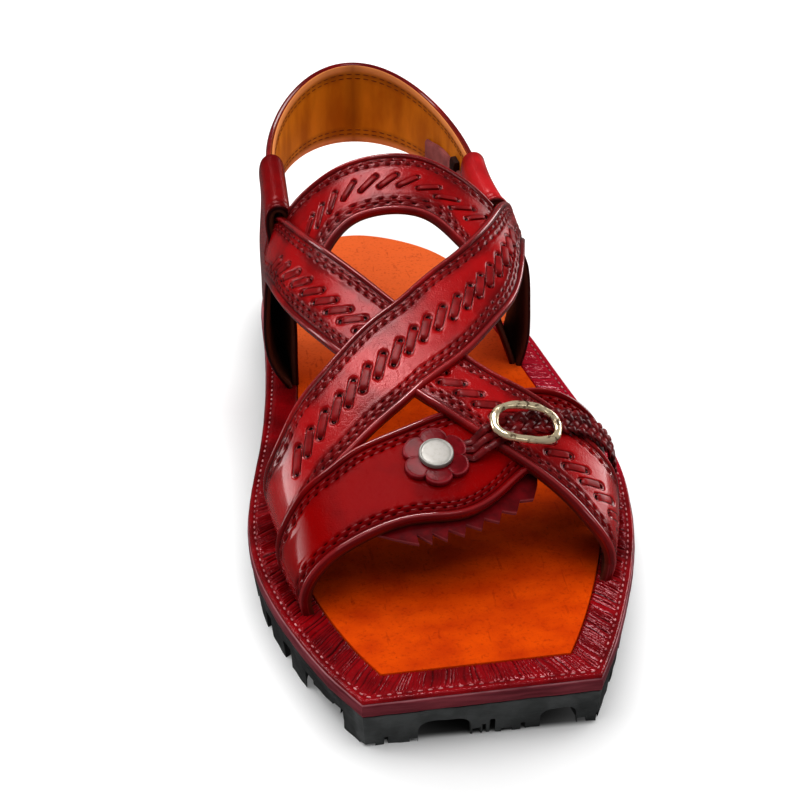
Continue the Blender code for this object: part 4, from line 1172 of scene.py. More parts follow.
@dataclass(frozen=True)
class SideLoop:
    """Quarter folded over the heel strap: its outer leaf, the fold and its inner leaf in one strip."""

    name: str
    table: Array
    leather: StrapLeather
    pinch: float = 0.0
    thickness: float = 2.2
    flare_run: float = 12.0
    hem: float = 0.35
    crease: float = 0.3
    creases: Pair = (2.4, 4.4)
    edge_mark: float = 2.6
    corner: float = 0.9
    pinch_from: Pair = (16.5, 29.0)
    pinch_to: Pair = (40.0, 60.0)
    fold: Pair = (62.0, 78.0)
    rows: int = 220

    def make(self) -> None:
        """A strip along its bent middle line: front edge flared, fold rolled, inner leaf pinched behind."""
        table = self.table
        knots = np.column_stack([table["x"], table["z"]])
        run = lengths(knots)
        at = np.linspace(0.0, run[-1], self.rows)
        x, z = spline(run, table["x"]), spline(run, table["z"])
        ahead = heading(x, z, at, 0.05)
        front, back, flare = (np.interp(at, run, table[key])[:, None] for key in ("front", "back", "flare"))
        near = [0.0, 0.008, 0.02, 0.035, 0.05, 0.065, 0.08, 0.095, 0.11, 0.13, 0.15, 0.165, 0.18]
        over = np.concatenate([near, np.linspace(0.22, 0.94, 13), [0.97, 0.985, 1.0]])[None, :]
        station = front + (back - front) * over
        edge = np.minimum(station - front, back - station)
        outwards = np.sign(table["x"][0])
        spread = flare * np.clip(1.0 - (station - front) / self.flare_run, 0.0, 1.0) ** 2 * outwards
        inner_leaf = step_up(at / run[-1], 0.5, 0.6)[:, None]
        low = (step_up(z(at), *self.pinch_from) * (1.0 - step_up(z(at), *self.pinch_to)))[:, None]
        spread = spread + self.pinch * outwards * (1.2 * inner_leaf - 0.2) * low * over
        across, down = sleeve_shift(station, MEDIAL_SLEEVE if outwards < 0.0 else LATERAL_SLEEVE)
        share = eased(SLEEVE_SHARE, z(at))[:, None]
        folded = step_up(z(at)[:, None], *self.fold)
        behind = station - front
        hem = self.hem * folded * bell(behind, 1.0, 1.0)
        lines = bell(behind, self.creases[0], 0.45) + 0.6 * bell(behind, self.creases[1], 0.4)
        crease = self.crease * folded * lines
        half = self.thickness / 2.0 + hem - crease - rounded_off(edge, self.corner)
        leaves = []
        for sign in (-1.0, 1.0):
            side_x = (x(at)[:, None] - ahead[:, 1:] * sign * half) + spread + across * share
            side_z = z(at)[:, None] + ahead[:, :1] * sign * half + down * share
            side_z[[0, -1]] = FEET_END
            leaves.append(np.stack([side_x, station, side_z], axis=-1))
        count = over.shape[1]
        outer = leaves[0] if outwards > 0 else leaves[1]
        inner = leaves[1] if outwards > 0 else leaves[0]
        points = np.concatenate([outer, inner[:, ::-1]], axis=1)
        # Painted shade in the fold's creases, and darker cut edges, partly edge dye and partly painted
        # shade. The inner leaf takes the inside colour, the flesh side kept dark as painted shade in the
        # pocket.
        cut = np.maximum(crease, 0.85 * bell(edge, 0.0, 0.7))
        marks = {
            "edge": np.hstack([edge, edge[:, ::-1]]) + self.edge_mark,
            "painted_shade": np.hstack([cut, cut[:, ::-1]]),
            "inside": np.hstack([np.zeros_like(edge), np.ones_like(edge)]),
        }
        faces = tube_faces(self.rows, 2 * count)
        add_piece(self.name, points, faces, self.leather, "red_leather", "upper", marks)


@dataclass(frozen=True)
class HeelStrap:
    """Lined band round the heel: a red outside, a lower tan lining and stitches near both edges."""

    centre_x: float = -6.5
    centre_y: float = 66.0
    half_width: float = 35.5
    reach: float = 62.0
    front: float = 46.5
    low: float = 63.5
    side_top: float = 83.8
    back_rise: float = 10.2
    tilt: float = 3.5
    outside: float = 1.9
    thickness: float = 3.0
    trim: float = 0.5
    bulges: Pair = (0.7, 0.4)
    straight_rows: int = 15
    outside_height: float = 22.0
    lining_height: float = 24.0
    stitch: Triple = (2.0, 0.36, 0.3)
    stitch_pitch: float = 2.9
    stitch_lines: tuple[float, ...] = (0.112, 0.165, 0.843, 0.896)
    rows: int = 220

    def wall(self, inset: Array, up: Array, trim: float) -> Array:
        """Points of the band: straight sides in the sleeves, then half an ellipse that rises behind.

        Args:
            inset: Distance inside the outer face, for each point of the section.
            up: Share of the height, for each point of the section.
            trim: Distance below the top edge and above the low one.

        Returns:
            Rows of sections from the lateral front end round to the medial one.
        """
        inset, up = inset[None, :], up[None, :]
        straight = np.linspace(self.front, self.centre_y, self.straight_rows + 1)[:-1, None]
        turn = np.linspace(0.0, np.pi, self.rows - 2 * self.straight_rows)[:, None]
        level = np.ones_like(straight)
        side = np.concatenate([level, np.cos(turn), -level])
        back = np.concatenate([0.0 * level, np.sin(turn), 0.0 * level])
        ahead = np.concatenate([straight, self.centre_y + 0.0 * turn, straight[::-1]])
        sleeves = sleeve_shift(ahead, LATERAL_SLEEVE), sleeve_shift(ahead, MEDIAL_SLEEVE)
        across, down = (np.where(side > 0.0, lateral, medial) for lateral, medial in zip(*sleeves))
        x = self.centre_x + (self.half_width - inset) * side + across
        y = ahead + (self.reach - inset) * back
        low = self.low + down - self.tilt * (1.0 + side) / 2.0 + trim
        tall = self.side_top - self.low + self.back_rise * (1.0 - side ** 2) - 2.0 * trim
        z = low + tall * up
        return np.stack(np.broadcast_arrays(x, y, z), axis=-1)

    def ring(self, first: float, last: float, bulge: float) -> tuple[Array, Array]:
        """Section of a layer: up its outer face and down its inner one, rounded over at the edges."""
        up = np.concatenate([[0.0, 0.015, 0.05], np.linspace(0.1, 0.9, 21), [0.95, 0.985, 1.0]])
        edge = np.minimum(up, 1.0 - up)
        soft = bulge * np.clip(1.0 - edge / 0.05, 0.0, 1.0) ** 2
        inset = np.concatenate([first + soft, (last - soft)[::-1]])
        return inset, np.concatenate([up, up[::-1]])

    def make(self) -> None:
        """Build the outside, the lining with its tab, and the rows of stitches."""
        self.make_outside()
        self.make_lining()
        self.make_tab()
        self.make_stitches()

    def make_outside(self) -> None:
        """The red band."""
        inset, up = self.ring(0.0, self.outside, self.bulges[0])
        points = self.wall(inset, up, 0.0)
        edge = np.minimum(up, 1.0 - up)[None, :] * self.outside_height + np.zeros(points.shape[:2])
        faces = tube_faces(*points.shape[:2])
        add_piece("heel_band", points, faces, HEEL_LEATHER, "heel_leather", "heel_strap", {"edge": edge})

    def make_lining(self) -> None:
        """The tan lining: paler turned edges that also paint the highlight on the roll, and painted shade
        along each stitch line and in a soft middle seam.
        """
        inset, up = self.ring(self.outside, self.thickness, self.bulges[1])
        points = self.wall(inset, up, self.trim)
        share = up[None, :] + np.zeros(points.shape[:2])
        height = share * self.lining_height
        inner = (np.arange(len(up)) >= len(up) // 2)[None, :]
        from_middle = np.abs(points[..., 0] - self.centre_x)
        behind = points[..., 1] > self.centre_y
        # Painted shade along the stitch lines and down the middle fold behind.
        furrows = (bell(height, self.lining_height * line, 0.5) for line in self.stitch_lines)
        rows = sum(furrows, np.zeros_like(height))
        seam_shade = (0.28 * bell(from_middle, 1.2, 2.2) + 0.2 * bell(from_middle, 0.3, 0.5)) * behind
        painted_shade = np.maximum(0.45 * rows, seam_shade) * inner
        turned = 1.0 - step_up(np.minimum(share, 1.0 - share), 0.06, 0.11)
        add_piece("heel_lining", points, tube_faces(*points.shape[:2]), LiningLeather(), "heel_leather",
                  "heel_strap", {"painted_shade": painted_shade, "turned": turned})

    def make_stitches(self) -> None:
        """Small stitches on the lining and on the outside, in two lines near each edge."""
        origins, axes = [], []
        for inset, sign in ((self.thickness, -1.0), (0.0, 1.0)):
            for up in self.stitch_lines:
                path = self.wall(np.array([inset]), np.array([up]), self.trim)[:, 0]
                spots = even(path, int(lengths(path)[-1] / self.stitch_pitch))
                ahead = unit(np.gradient(spots, axis=0))
                upwards = np.broadcast_to([0.0, 0.0, 1.0], ahead.shape)
                out = unit(np.cross(ahead, upwards))
                away = spots - np.array([self.centre_x, self.centre_y - 20.0, 0.0])
                out = out * np.sign(np.sum(out * away, axis=1, keepdims=True)) * sign
                origins.append(spots)
                axes.append(stitch_axes(ahead, out))
        half = len(origins) // 2
        for name, group, finish in (("heel_lining_stitches", slice(0, half), TAN_THREAD),
                                    ("heel_band_stitches", slice(half, None), DARK_THREAD)):
            spots, turns = np.concatenate(origins[group]), np.concatenate(axes[group])
            points, faces = copies(*pill(*self.stitch), spots, turns)
            add_piece(name, points, faces, finish, "heel_leather")

    def make_tab(self) -> None:
        """Strap end on the lining by the lateral sleeve, with a narrow keeper across it."""
        count = 12
        for name, finish, first, last, low, high, thick in (
                ("heel_tab", TAB_LEATHER, 0.060, 0.275, 0.02, 0.52, 1.6),
                ("heel_keeper", KEEPER_LEATHER, 0.135, 0.160, 0.0, 0.66, 2.3)):
            across = np.linspace(low, high, count)
            edge = np.minimum(across - low, high - across) / (high - low)
            soft = 0.5 * np.clip(1.0 - edge / 0.1, 0.0, 1.0) ** 2
            inset = np.concatenate([np.full(count, self.thickness), (self.thickness + thick - soft)[::-1]])
            wall = self.wall(inset, np.concatenate([across, across[::-1]]), 0.0)
            rows = wall[int(first * len(wall)):int(last * len(wall))]
            middle = rows[:, :, 2].mean(axis=1, keepdims=True)
            tip = np.linspace(0.0, 1.0, len(rows))[:, None]
            narrow = 1.0 - (0.35 * step_up(tip, 0.55, 1.0) ** 2 if name == "heel_tab" else 0.0)
            rows[:, :, 2] = middle + (rows[:, :, 2] - middle) * narrow
            add_piece(name, rows, tube_faces(*rows.shape[:2]), finish, "heel_leather")


@dataclass(frozen=True)
class SolePlan:
    """The sole's outline, moved inwards for each layer."""

    outline: Array
    heel_end: Pair
    toe_skew: float
    points: int = 420

    def edge(self) -> tuple[Array, Array]:
        """Sole edge from the medial toe corner round the heel to the lateral one, with inward normals."""
        rows = self.outline
        medial = np.column_stack([rows["medial"], rows["station"]])
        lateral = np.column_stack([rows["lateral"], rows["station"]])[::-1]
        lateral[-1, 1] += self.toe_skew
        knots = np.concatenate([medial, [self.heel_end], lateral])
        run = lengths(knots)
        at = np.linspace(0.0, run[-1], self.points)
        x, y = spline(run, knots[:, 0]), spline(run, knots[:, 1])
        ahead = heading(x, y, at, 0.1)
        return np.column_stack([x(at), y(at)]), np.column_stack([ahead[:, 1], -ahead[:, 0]])

    def side(self, side_inset: Array | float, toe_inset: float) -> Array:
        """The edge moved inwards along its sides, cut where it crosses the moved toe line.

        Args:
            side_inset: Distance inwards along the sides, one or one for each edge point.
            toe_inset: Distance inwards at the straight toe.

        Returns:
            Points from the medial toe corner round the heel to the lateral toe corner.
        """
        edge, inward = self.edge()
        loop = edge + inward * np.broadcast_to(side_inset, len(edge))[:, None]
        (x0, y0), (x1, y1) = edge[0], edge[-1]
        ahead = loop[:, 1] - (y0 + toe_inset + (y1 - y0) / (x1 - x0) * (loop[:, 0] - x0))
        keep = np.flatnonzero(ahead > 0.4)
        first, last = keep[0], keep[-1]

        def corner(inside: int, step: int) -> Array:
            """Where the last stretch, carried on, meets the toe line."""
            rate = ahead[inside] - ahead[inside + step]
            return loop[inside] + (loop[inside] - loop[inside + step]) * (-ahead[inside] / rate)

        return np.concatenate([[corner(first, 4)], loop[first:last + 1], [corner(last, -4)]])

    def ring(self, inset: float, sides: int = 520, toe: int = 70) -> Array:
        """Closed loop at an inset: the sides, then the toe line back to its start."""
        side = even(self.side(inset, inset), sides)
        front = even(np.stack([side[-1], side[0]]), toe + 2)[1:-1]
        return np.concatenate([side, front])

    def strip(self, side_inset: Array | float, toe_inset: float, sides: int, toe: int) -> Array:
        """Path ahead of the rand's end: down the lateral side, along the toe and up the medial side."""
        loop = self.side(side_inset, toe_inset)
        back = int(np.argmax(loop[:, 1]))

        def ahead_part(side: Array) -> Array:
            """One side, from the rand's end forwards."""
            order = side[np.argsort(side[:, 1])]
            start = (np.interp(RAND_END, order[:, 1], order[:, 0]), RAND_END)
            return np.concatenate([[start], order[::-1][order[::-1, 1] < RAND_END - 0.5]])

        lateral = even(ahead_part(loop[back:]), sides)
        medial = even(ahead_part(loop[:back]), sides)[::-1]
        front = even(np.stack([lateral[-1], medial[0]]), toe + 2)[1:-1]
        return np.concatenate([lateral, front, medial])

    def rand_widths(self) -> Array:
        """Rand width at every point of the edge."""
        edge = self.edge()[0]
        half = np.arange(len(edge)) < np.argmax(edge[:, 1])
        station = np.clip(edge[:, 1], RAND_WIDTH["station"][0], RAND_WIDTH["station"][-1])
        return np.where(half, column(RAND_WIDTH, "medial")(station), column(RAND_WIDTH, "lateral")(station))


PLAN = SolePlan(OUTLINE, HEEL_END, TOE_SKEW)


def stacked(levels: tuple[Pair, ...], wobble: float) -> tuple[Array, list[list[int]]]:
    """Plate of the sole's loops at each level's inset and height, closed flat at both ends.

    Args:
        levels: Inset and height of each loop, from the lowest up.
        wobble: How far the hand-cut wall strays from the line.

    Returns:
        Points and faces.
    """
    rings = []
    for inset, height in levels:
        loop = PLAN.ring(inset)
        turn = full_turn(len(loop))
        stray = np.sin(23.0 * turn + 0.35 * height) + np.sin(41.0 * turn + 1.7)
        stray = stray + 0.7 * np.sin(97.0 * turn - 0.6 * height)
        loop = loop * (1.0 + wobble * stray / 120.0)[:, None]
        rings.append(level_at(loop, height))
    return np.concatenate(rings), sleeve_faces(len(rings), len(rings[0]))


@dataclass(frozen=True)
class Outsole:
    """Slab cut from a tyre: long grooves, a slit, shoulder notches and fine cross slits."""

    grooves: tuple[Triple, ...] = (
        (-43.0, 9.0, 6.0), (-10.5, 15.0, 6.8), (3.2, 1.6, 5.0), (21.5, 11.0, 6.8))
    pitch: float = 16.5
    notch: Triple = (15.0, 4.6, 7.0)
    slant: float = np.radians(24.0)
    slit_pitch: float = 24.0
    nicks: tuple[Triple, ...] = (
        (-40.5, 1.6, 1.9), (-33.0, 4.4, 0.9), (-27.5, 1.2, 2.6), (-19.8, 2.2, 1.2),
        (-1.6, 2.4, 2.1), (0.4, 1.0, 3.1), (7.0, 3.2, 1.1), (11.8, 1.4, 2.3),
        (28.8, 2.6, 1.5), (33.6, 1.3, 3.0), (39.0, 3.0, 0.9))
    ribs: tuple[Pair, ...] = ((-28.5, 12.0), (10.0, 7.5), (36.0, 12.0))
    slit: Triple = (0.7, 3.6, 0.35)
    below: float = 4.0
    wall: tuple[Pair, ...] = (
        (1.8, 0.0), (1.5, 2.6), (1.15, 5.4), (0.8, 8.4), (0.5, 10.8), (0.7, OUTSOLE_HEIGHT))
    wobble: float = 0.12

    def make(self) -> None:
        """The slab, with the tread cut out of it and its edges eased."""
        points, faces = stacked(self.wall, self.wobble)
        slab = add_piece("tyre_slab", points, faces, TyreRubber(), "tyre_rubber", "outsole")
        notches = np.concatenate([self.notch_shapes(), self.nick_shapes()])
        slits = self.slit_shapes()
        shapes = {
            "tread_grooves": self.groove_shapes(),
            "tread_notches": (notches, self.block_faces(len(notches))),
            "tread_slits": (slits, self.block_faces(len(slits))),
        }
        cutters = [add_object(name, closed_mesh(name, *shape)) for name, shape in shapes.items()]
        for cutter in cutters:
            cut = slab.modifiers.new(cutter.name, "BOOLEAN")
            cut.solver = "EXACT"
            cut.operation = "DIFFERENCE"
            cut.object = cutter
        graph = bpy.context.evaluated_depsgraph_get()
        mesh = bpy.data.meshes.new_from_object(slab.evaluated_get(graph))
        slab.modifiers.clear()
        slab.data = mesh
        mesh.shade_smooth()
        mesh.set_sharp_from_angle(angle=SMOOTH_ANGLE)
        for cutter in cutters:
            bpy.data.objects.remove(cutter)

    @staticmethod
    def block_faces(count: int) -> Array:
        """Faces of a number of blocks of eight corners each."""
        corners = np.array([(0, 1, 3, 2), (4, 6, 7, 5), (0, 4, 5, 1),
                            (2, 3, 7, 6), (0, 2, 6, 4), (1, 5, 7, 3)])
        return (corners[None] + 8 * np.arange(count)[:, None, None]).reshape(-1, 4)

    @staticmethod
    def blocks(middles: Array, sizes: Array, turns: Array) -> Array:
        """Corners of blocks from their middles, sizes and turns about the upright."""
        unit_box = np.array([(x, y, z) for x in (-0.5, 0.5) for y in (-0.5, 0.5) for z in (-0.5, 0.5)])
        local = unit_box[None] * sizes[:, None, :]
        cos, sin = np.cos(turns)[:, None], np.sin(turns)[:, None]
        x = local[..., 0] * cos - local[..., 1] * sin
        y = local[..., 0] * sin + local[..., 1] * cos
        return np.stack([x, y, local[..., 2]], axis=-1) + middles[:, None, :]

    def groove_shapes(self) -> tuple[Array, Array]:
        """Grooves along the whole sole: a section with rounded top corners, on a slightly wavy line."""
        station = np.arange(-168.0, 169.0, 4.0)[:, None]
        bend = np.linspace(0.0, np.pi / 2.0, 6)
        points, faces = [], []
        for k, (centre, width, depth) in enumerate(self.grooves):
            corner = min(0.32 * width, 3.4)
            arc_x, arc_z = corner * np.cos(bend), depth - corner + corner * np.sin(bend)
            right = np.concatenate([[width / 2.0], width / 2.0 - corner + arc_x])
            height = np.concatenate([[-self.below], arc_z])
            x = np.concatenate([right, -right[::-1]])[None, :]
            z = np.concatenate([height, height[::-1]])[None, :]
            wave = 0.5 * np.sin(0.21 * station + 1.7 * k) + 0.35 * np.sin(0.67 * station + k)
            swell = 1.0 + 0.05 * np.sin(0.33 * station + 2.1 * k)
            rows = np.stack(np.broadcast_arrays(centre + wave + x * swell, station, z * swell), axis=-1)
            faces.append(tube_faces(len(station), x.shape[1]) + k * rows[..., 0].size)
            points.append(rows.reshape(-1, 3))
        return np.concatenate(points), np.concatenate(faces)

    def notch_shapes(self) -> Array:
        """Blocks set slanted across the edge at even distances along it."""
        edge, inward = PLAN.edge()
        run = lengths(edge)
        at = np.arange(self.pitch * 0.8, run[-1] - self.pitch * 0.5, self.pitch)
        x, y = (np.interp(at, run, edge[:, k]) for k in range(2))
        turn = np.arctan2(np.interp(at, run, inward[:, 1]), np.interp(at, run, inward[:, 0])) + self.slant
        length, width, height = self.notch
        middles = np.column_stack([x, y, np.full_like(x, (height - self.below) / 2.0)])
        sizes = np.broadcast_to([length, width, height + self.below], middles.shape)
        return self.blocks(middles, sizes, turn)

    def nick_shapes(self) -> Array:
        """Small uneven cuts in the low edge of the toe face."""
        x, width, height = np.array(self.nicks).T
        edge = PLAN.edge()[0]
        y = np.interp(x, edge[[0, -1], 0], edge[[0, -1], 1])
        below = 3.0
        middles = np.column_stack([x, y + 1.5, (height - below) / 2.0])
        sizes = np.column_stack([width, np.full_like(x, 5.0), height + below])
        return self.blocks(middles, sizes, 0.05 * x % 0.6 - 0.3)

    def slit_shapes(self) -> Array:
        """Thin slanted slits across the ribs between the grooves."""
        ribs = np.array(self.ribs)
        station = np.arange(-120.0, 124.0, self.slit_pitch)
        x = np.repeat(ribs[:, 0], len(station))
        length = np.repeat(ribs[:, 1], len(station))
        y = np.tile(station, len(ribs)) + 0.15 * x
        width, depth, turn = self.slit
        middles = np.column_stack([x, y, np.full_like(x, (depth - self.below) / 2.0)])
        sizes = np.column_stack([length, np.full_like(x, width), np.full_like(x, depth + self.below)])
        inside = y < 118.0 - 0.6 * np.abs(x)
        return self.blocks(middles, sizes, np.full_like(x, turn))[inside]


@dataclass(frozen=True)
class SoleLayers:
    """Midsole, insole and the pleated rand with its stitches, painted pale for their glints."""

    stitch: Triple = (1.25, 0.58, 0.5)
    stitch_pitch: float = 2.9
    stitch_inset: float = 2.1
    stitch_sink: float = 0.38
    rand_corner: float = 0.8
    rand_inset: float = 0.3
    rand_rows: tuple[int, int] = (900, 260)
    rand_drop: float = 0.25
    furrow: float = 0.3
    midsole_wobble: float = 0.05
    insole_gap: float = 0.1
    heel_inset: float = 0.8

    def make(self) -> None:
        """Build the three layers and the stitches."""
        self.make_midsole()
        self.make_insole()
        self.make_rand()

    def make_midsole(self) -> None:
        """Plate with eased edges and a slightly bellied wall."""
        low, top = MIDSOLE_BOTTOM, MIDSOLE_TOP
        levels = ((0.8, low), (0.25, low + 0.35), (0.0, low + 1.4), (-0.1, low + 2.6), (0.0, top - 1.0),
                  (0.2, top - 0.35), (0.7, top))
        points, faces = stacked(levels, self.midsole_wobble)
        add_piece("sole_edge", points, faces, SoleEdge(), "midsole_leather", "midsole")

    def make_insole(self) -> None:
        """Plate inside the rand and over the whole heel, its top edge eased."""
        widths = PLAN.rand_widths()
        rings = []
        levels = ((0.0, LAYER_BOTTOM), (0.0, INSOLE_TOP - 0.35),
                  (0.15, INSOLE_TOP - 0.1), (0.5, INSOLE_TOP))
        for inset, height in levels:
            gap = self.insole_gap
            front = PLAN.strip(widths + gap + inset, RAND_TOE_WIDTH + gap + inset, 200, 40)
            side = PLAN.side(self.heel_inset + inset, self.heel_inset + inset)
            heel = even(side[side[:, 1] > RAND_END + 0.2 + inset], 160)
            loop = np.concatenate([heel, front])
            rings.append(level_at(loop, height))
        points = np.concatenate(rings)
        faces = sleeve_faces(len(rings), len(rings[0]))
        add_piece("insole_sheet", points, faces, InsoleLeather(), "insole_leather", "insole")

    def pleats(self, run: Array, path: Array, across: Array) -> tuple[Array, Array]:
        """Pleats of the rand: ridges square to the edge, strongest round the ball, none at the waist.

        Args:
            run: Distance along the rand, a column.
            path: Its outer edge.
            across: Distance in from the edge.

        Returns:
            Height and a share from 0 on a ridge to 1 in a valley, scaled by how strong the pleats are; the
            share is painted shade.
        """
        strength = np.array([
            (-140.0, 0.7, 0.7), (-122.0, 0.9, 1.0), (-95.0, 1.0, 1.0), (-55.0, 1.0, 1.0),
            (-30.0, 0.5, 0.9), (0.0, 0.12, 0.9), (30.0, 0.05, 0.8), (66.0, 0.0, 0.4),
        ], dtype=SIDES)
        sides = ("medial", "lateral")
        medial, lateral = (np.interp(path[:, 1], strength["station"], strength[side]) for side in sides)
        force = np.where(path[:, 0] < 0.0, medial, lateral)[:, None]
        phase = run / 1.5 + 0.55 * np.sin(0.19 * run) + 0.4 * np.sin(0.47 * run + 1.3)
        phase = phase + 0.25 * np.sin(1.13 * run) + 0.10 * np.sin(0.55 * across + 0.31 * run)
        wave = 0.5 + 0.5 * np.cos(2.0 * np.pi * phase)
        uneven = 0.72 + 0.28 * np.sin(0.83 * run + 0.5 * np.sin(0.37 * run))
        window = 0.2 + 0.8 * step_up(across, 2.6, 3.8)
        height = 0.6 * force * window * uneven * (np.sqrt(wave) - 0.7)
        return height, force * window * (0.4 + 0.6 * uneven) * (1.0 - wave) ** 4

    def make_rand(self) -> None:
        """Strip round the front of the sole: a rounded, pleated section carried along its edge."""
        widths = PLAN.rand_widths()
        outer = PLAN.strip(self.rand_inset, self.rand_inset, *self.rand_rows)
        inner = PLAN.strip(widths, RAND_TOE_WIDTH, *self.rand_rows)
        run = lengths(outer)[:, None]
        over = np.concatenate([[0.0, 0.02, 0.05, 0.09], np.linspace(0.14, 0.9, 14), [0.95, 0.98, 1.0]])
        over = over[None, :]
        width = np.linalg.norm(inner - outer, axis=1)[:, None]
        across = over * width
        plan = outer[:, None, :] + (inner - outer)[:, None, :] * over[..., None]
        height, valley_shade = self.pleats(run, outer, across)
        furrow = bell(across, self.stitch_inset, 0.55)
        edge = np.minimum(across, width - across)
        top = RAND_TOP - self.rand_drop + height - self.furrow * furrow
        top = top - rounded_off(edge, self.rand_corner)
        low = np.full_like(top, MIDSOLE_TOP)
        under = np.dstack([plan, low])[:, [-1, 0]]
        points = np.concatenate([np.dstack([plan, top]), under], axis=1)
        # Painted shade in the pleats' valleys and, at half strength, in the stitch furrow.
        painted_shade = np.hstack([np.maximum(valley_shade, 0.5 * furrow), 0.0 * valley_shade[:, :2]])
        faces = sleeve_faces(*points.shape[:2])
        add_piece("rand_strip", points, faces, RandLeather(), "rand_leather", "rand", {"painted_shade": painted_shade})
        self.make_rand_stitches(outer, inner)

    def make_rand_stitches(self, outer: Array, inner: Array) -> None:
        """Stitches along the furrow, painted pale for their glints."""
        line = outer + unit(inner - outer) * self.stitch_inset
        spots = even(line, int(lengths(line)[-1] / self.stitch_pitch))
        ahead = np.column_stack([unit(np.gradient(spots, axis=0)), np.zeros(len(spots))])
        out = np.broadcast_to([0.0, 0.0, 1.0], ahead.shape)
        axes = stitch_axes(ahead, out)
        origins = level_at(spots, RAND_TOP - self.stitch_sink)
        points, faces = copies(*pill(*self.stitch), origins, axes)
        add_piece("rand_stitches", points, faces, PALE_GLINT_THREAD, "rand_leather")


@dataclass(frozen=True)
class ToeTrim:
    """Pinked strip under the front edge of the vamp strap."""

    plain: float = 0.30
    teeth: int = 7
    tooth: float = 3.6
    snap: float = 0.82
    tuck: float = 7.0
    thickness: float = 1.2
    rows: int = 451

    def make(self) -> None:
        """A thin sheet on the last: its front edge plain, then saw teeth that ease out and snap back."""
        place_along = np.linspace(0.0, 1.0, self.rows)[:, None]
        share = TRIM_EDGE["share"][0] + (TRIM_EDGE["share"][-1] - TRIM_EDGE["share"][0]) * place_along
        toothed = (place_along - self.plain) / (1.0 - self.plain) * self.teeth
        phase = np.where(place_along < self.plain, self.snap * place_along / self.plain, toothed % 1.0)
        back_again = (phase - self.snap) / (1.0 - self.snap)
        notch = np.where(phase < self.snap, 1.0 - phase / self.snap, back_again)
        front = column(TRIM_EDGE, "front")(share) + self.tooth * notch
        back = column(VAMP_STRAP, "front")(share) + self.tuck
        over = np.array([0.0, 0.03, 0.2, 0.45, 0.7, 1.0])[None, :]
        station = front + (back - front) * over
        lift = eased(VAMP_LIFT, share + 0.0 * station) - GAP
        outer = FOOT.surface(share, station, lift - 0.2 * (over == 0.0))
        inner = FOOT.surface(share, station, lift - self.thickness)
        points = np.concatenate([outer, inner[:, ::-1]], axis=1)
        # Painted highlight: a pale line along the front edge.
        wear_and_highlight = np.broadcast_to(0.5 * (over == 0.0), station.shape)
        marks = {"wear_and_highlight": np.hstack([wear_and_highlight, wear_and_highlight[:, ::-1]])}
        faces = tube_faces(*points.shape[:2])
        add_piece("pinked_trim", points, faces, TRIM_LEATHER, "trim_leather", "toe_trim", marks)


def strand(share: Array, station: Array, lift: Array, half_width: float, half_thick: float) -> Array:
    """Flat oval section carried along a route on the last.

    Args:
        share: Route across the foot.
        station: Route along the foot.
        lift: Height of the middle over the last.
        half_width: Half of the strand's width.
        half_thick: Half of its thickness.

    Returns:
        Rows of rings.
    """
    middle = FOOT.surface(share, station, lift)
    ahead = unit(np.gradient(middle, axis=0))
    out = FOOT.frame(share, station)[2]
    side = unit(np.cross(out, ahead))
    up = np.cross(ahead, side)
    turn = full_turn(STRAND_RING)[None, :, None]
    flat = side[:, None] * np.cos(turn) * half_width
    return middle[:, None] + flat + up[:, None] * np.sin(turn) * half_thick


def bundle(strands: list[Array]) -> tuple[Array, Array]:
    """Points and faces of several strands as one mesh."""
    rows, ring = strands[0].shape[:2]
    faces = [tube_faces(rows, ring) + k * rows * ring for k in range(len(strands))]
    return np.concatenate([rings.reshape(-1, 3) for rings in strands]), np.concatenate(faces)


@dataclass(frozen=True)
class SideStrap:
    """Plaited strap over the lateral side, running out in three plain strips to the flower."""

    turns: float = 4.3
    strips: int = 5
    strip: Pair = (1.2, 0.5)
    plait_ends: Pair = (1.0, 0.598)
    plait_lift: float = 1.15
    plain_strip: Pair = (1.15, 0.4)
    plain_ends: Pair = (0.612, 0.540)
    plain_lift: float = 0.9
    strip_gap: float = 3.1

    def make(self) -> None:
        """Build the plait and the strips.

        Each strip of the plait swings from side to side by a sine and up and down by a sine of four times
        the pace, the strips a fifth of a turn apart, so that each goes over and under the others in turn.
        """
        at = np.linspace(0.0, 1.0, 420)
        first, last = self.plait_ends
        share = first + (last - first) * at
        middle = column(BRAID, "middle")(share)
        lift = np.interp(share, BRAID["share"], BRAID["lift"]) + self.plait_lift
        wide, thick = self.strip
        reach = np.interp(share, BRAID["share"], BRAID["half_width"]) - 0.8 * wide
        strands = []
        for k in range(self.strips):
            swing = 2.0 * np.pi * (self.turns * at + k / self.strips)
            height = lift + thick * np.sin(4.0 * swing)
            strands.append(strand(share, middle + reach * np.sin(swing), height, wide, thick))
        add_piece("plait", *bundle(strands), BRAID_LEATHER, "braid_leather", "side_strap")
        self.make_strips()

    def make_strips(self) -> None:
        """Three plain strips from the plait's end, over the under strap's edge, to the flower."""
        at = np.linspace(0.0, 1.0, 60)
        first, last = self.plain_ends
        share = first + (last - first) * at
        middle = column(BRAID, "middle")(np.maximum(share, BRAID["share"][0]))
        lift = np.interp(share, BRAID["share"], BRAID["lift"]) + self.plain_lift
        strands = []
        for k, offset in enumerate((-self.strip_gap, 0.0, self.strip_gap)):
            spread = offset * (0.75 + 0.35 * np.sin(np.pi * at))
            height = lift + 0.3 * np.sin(7.0 * at + 2.0 * k)
            strands.append(strand(share, middle + spread, height, *self.plain_strip))
        add_piece("flower_strips", *bundle(strands), BRAID_LEATHER, "braid_leather", "side_strap")


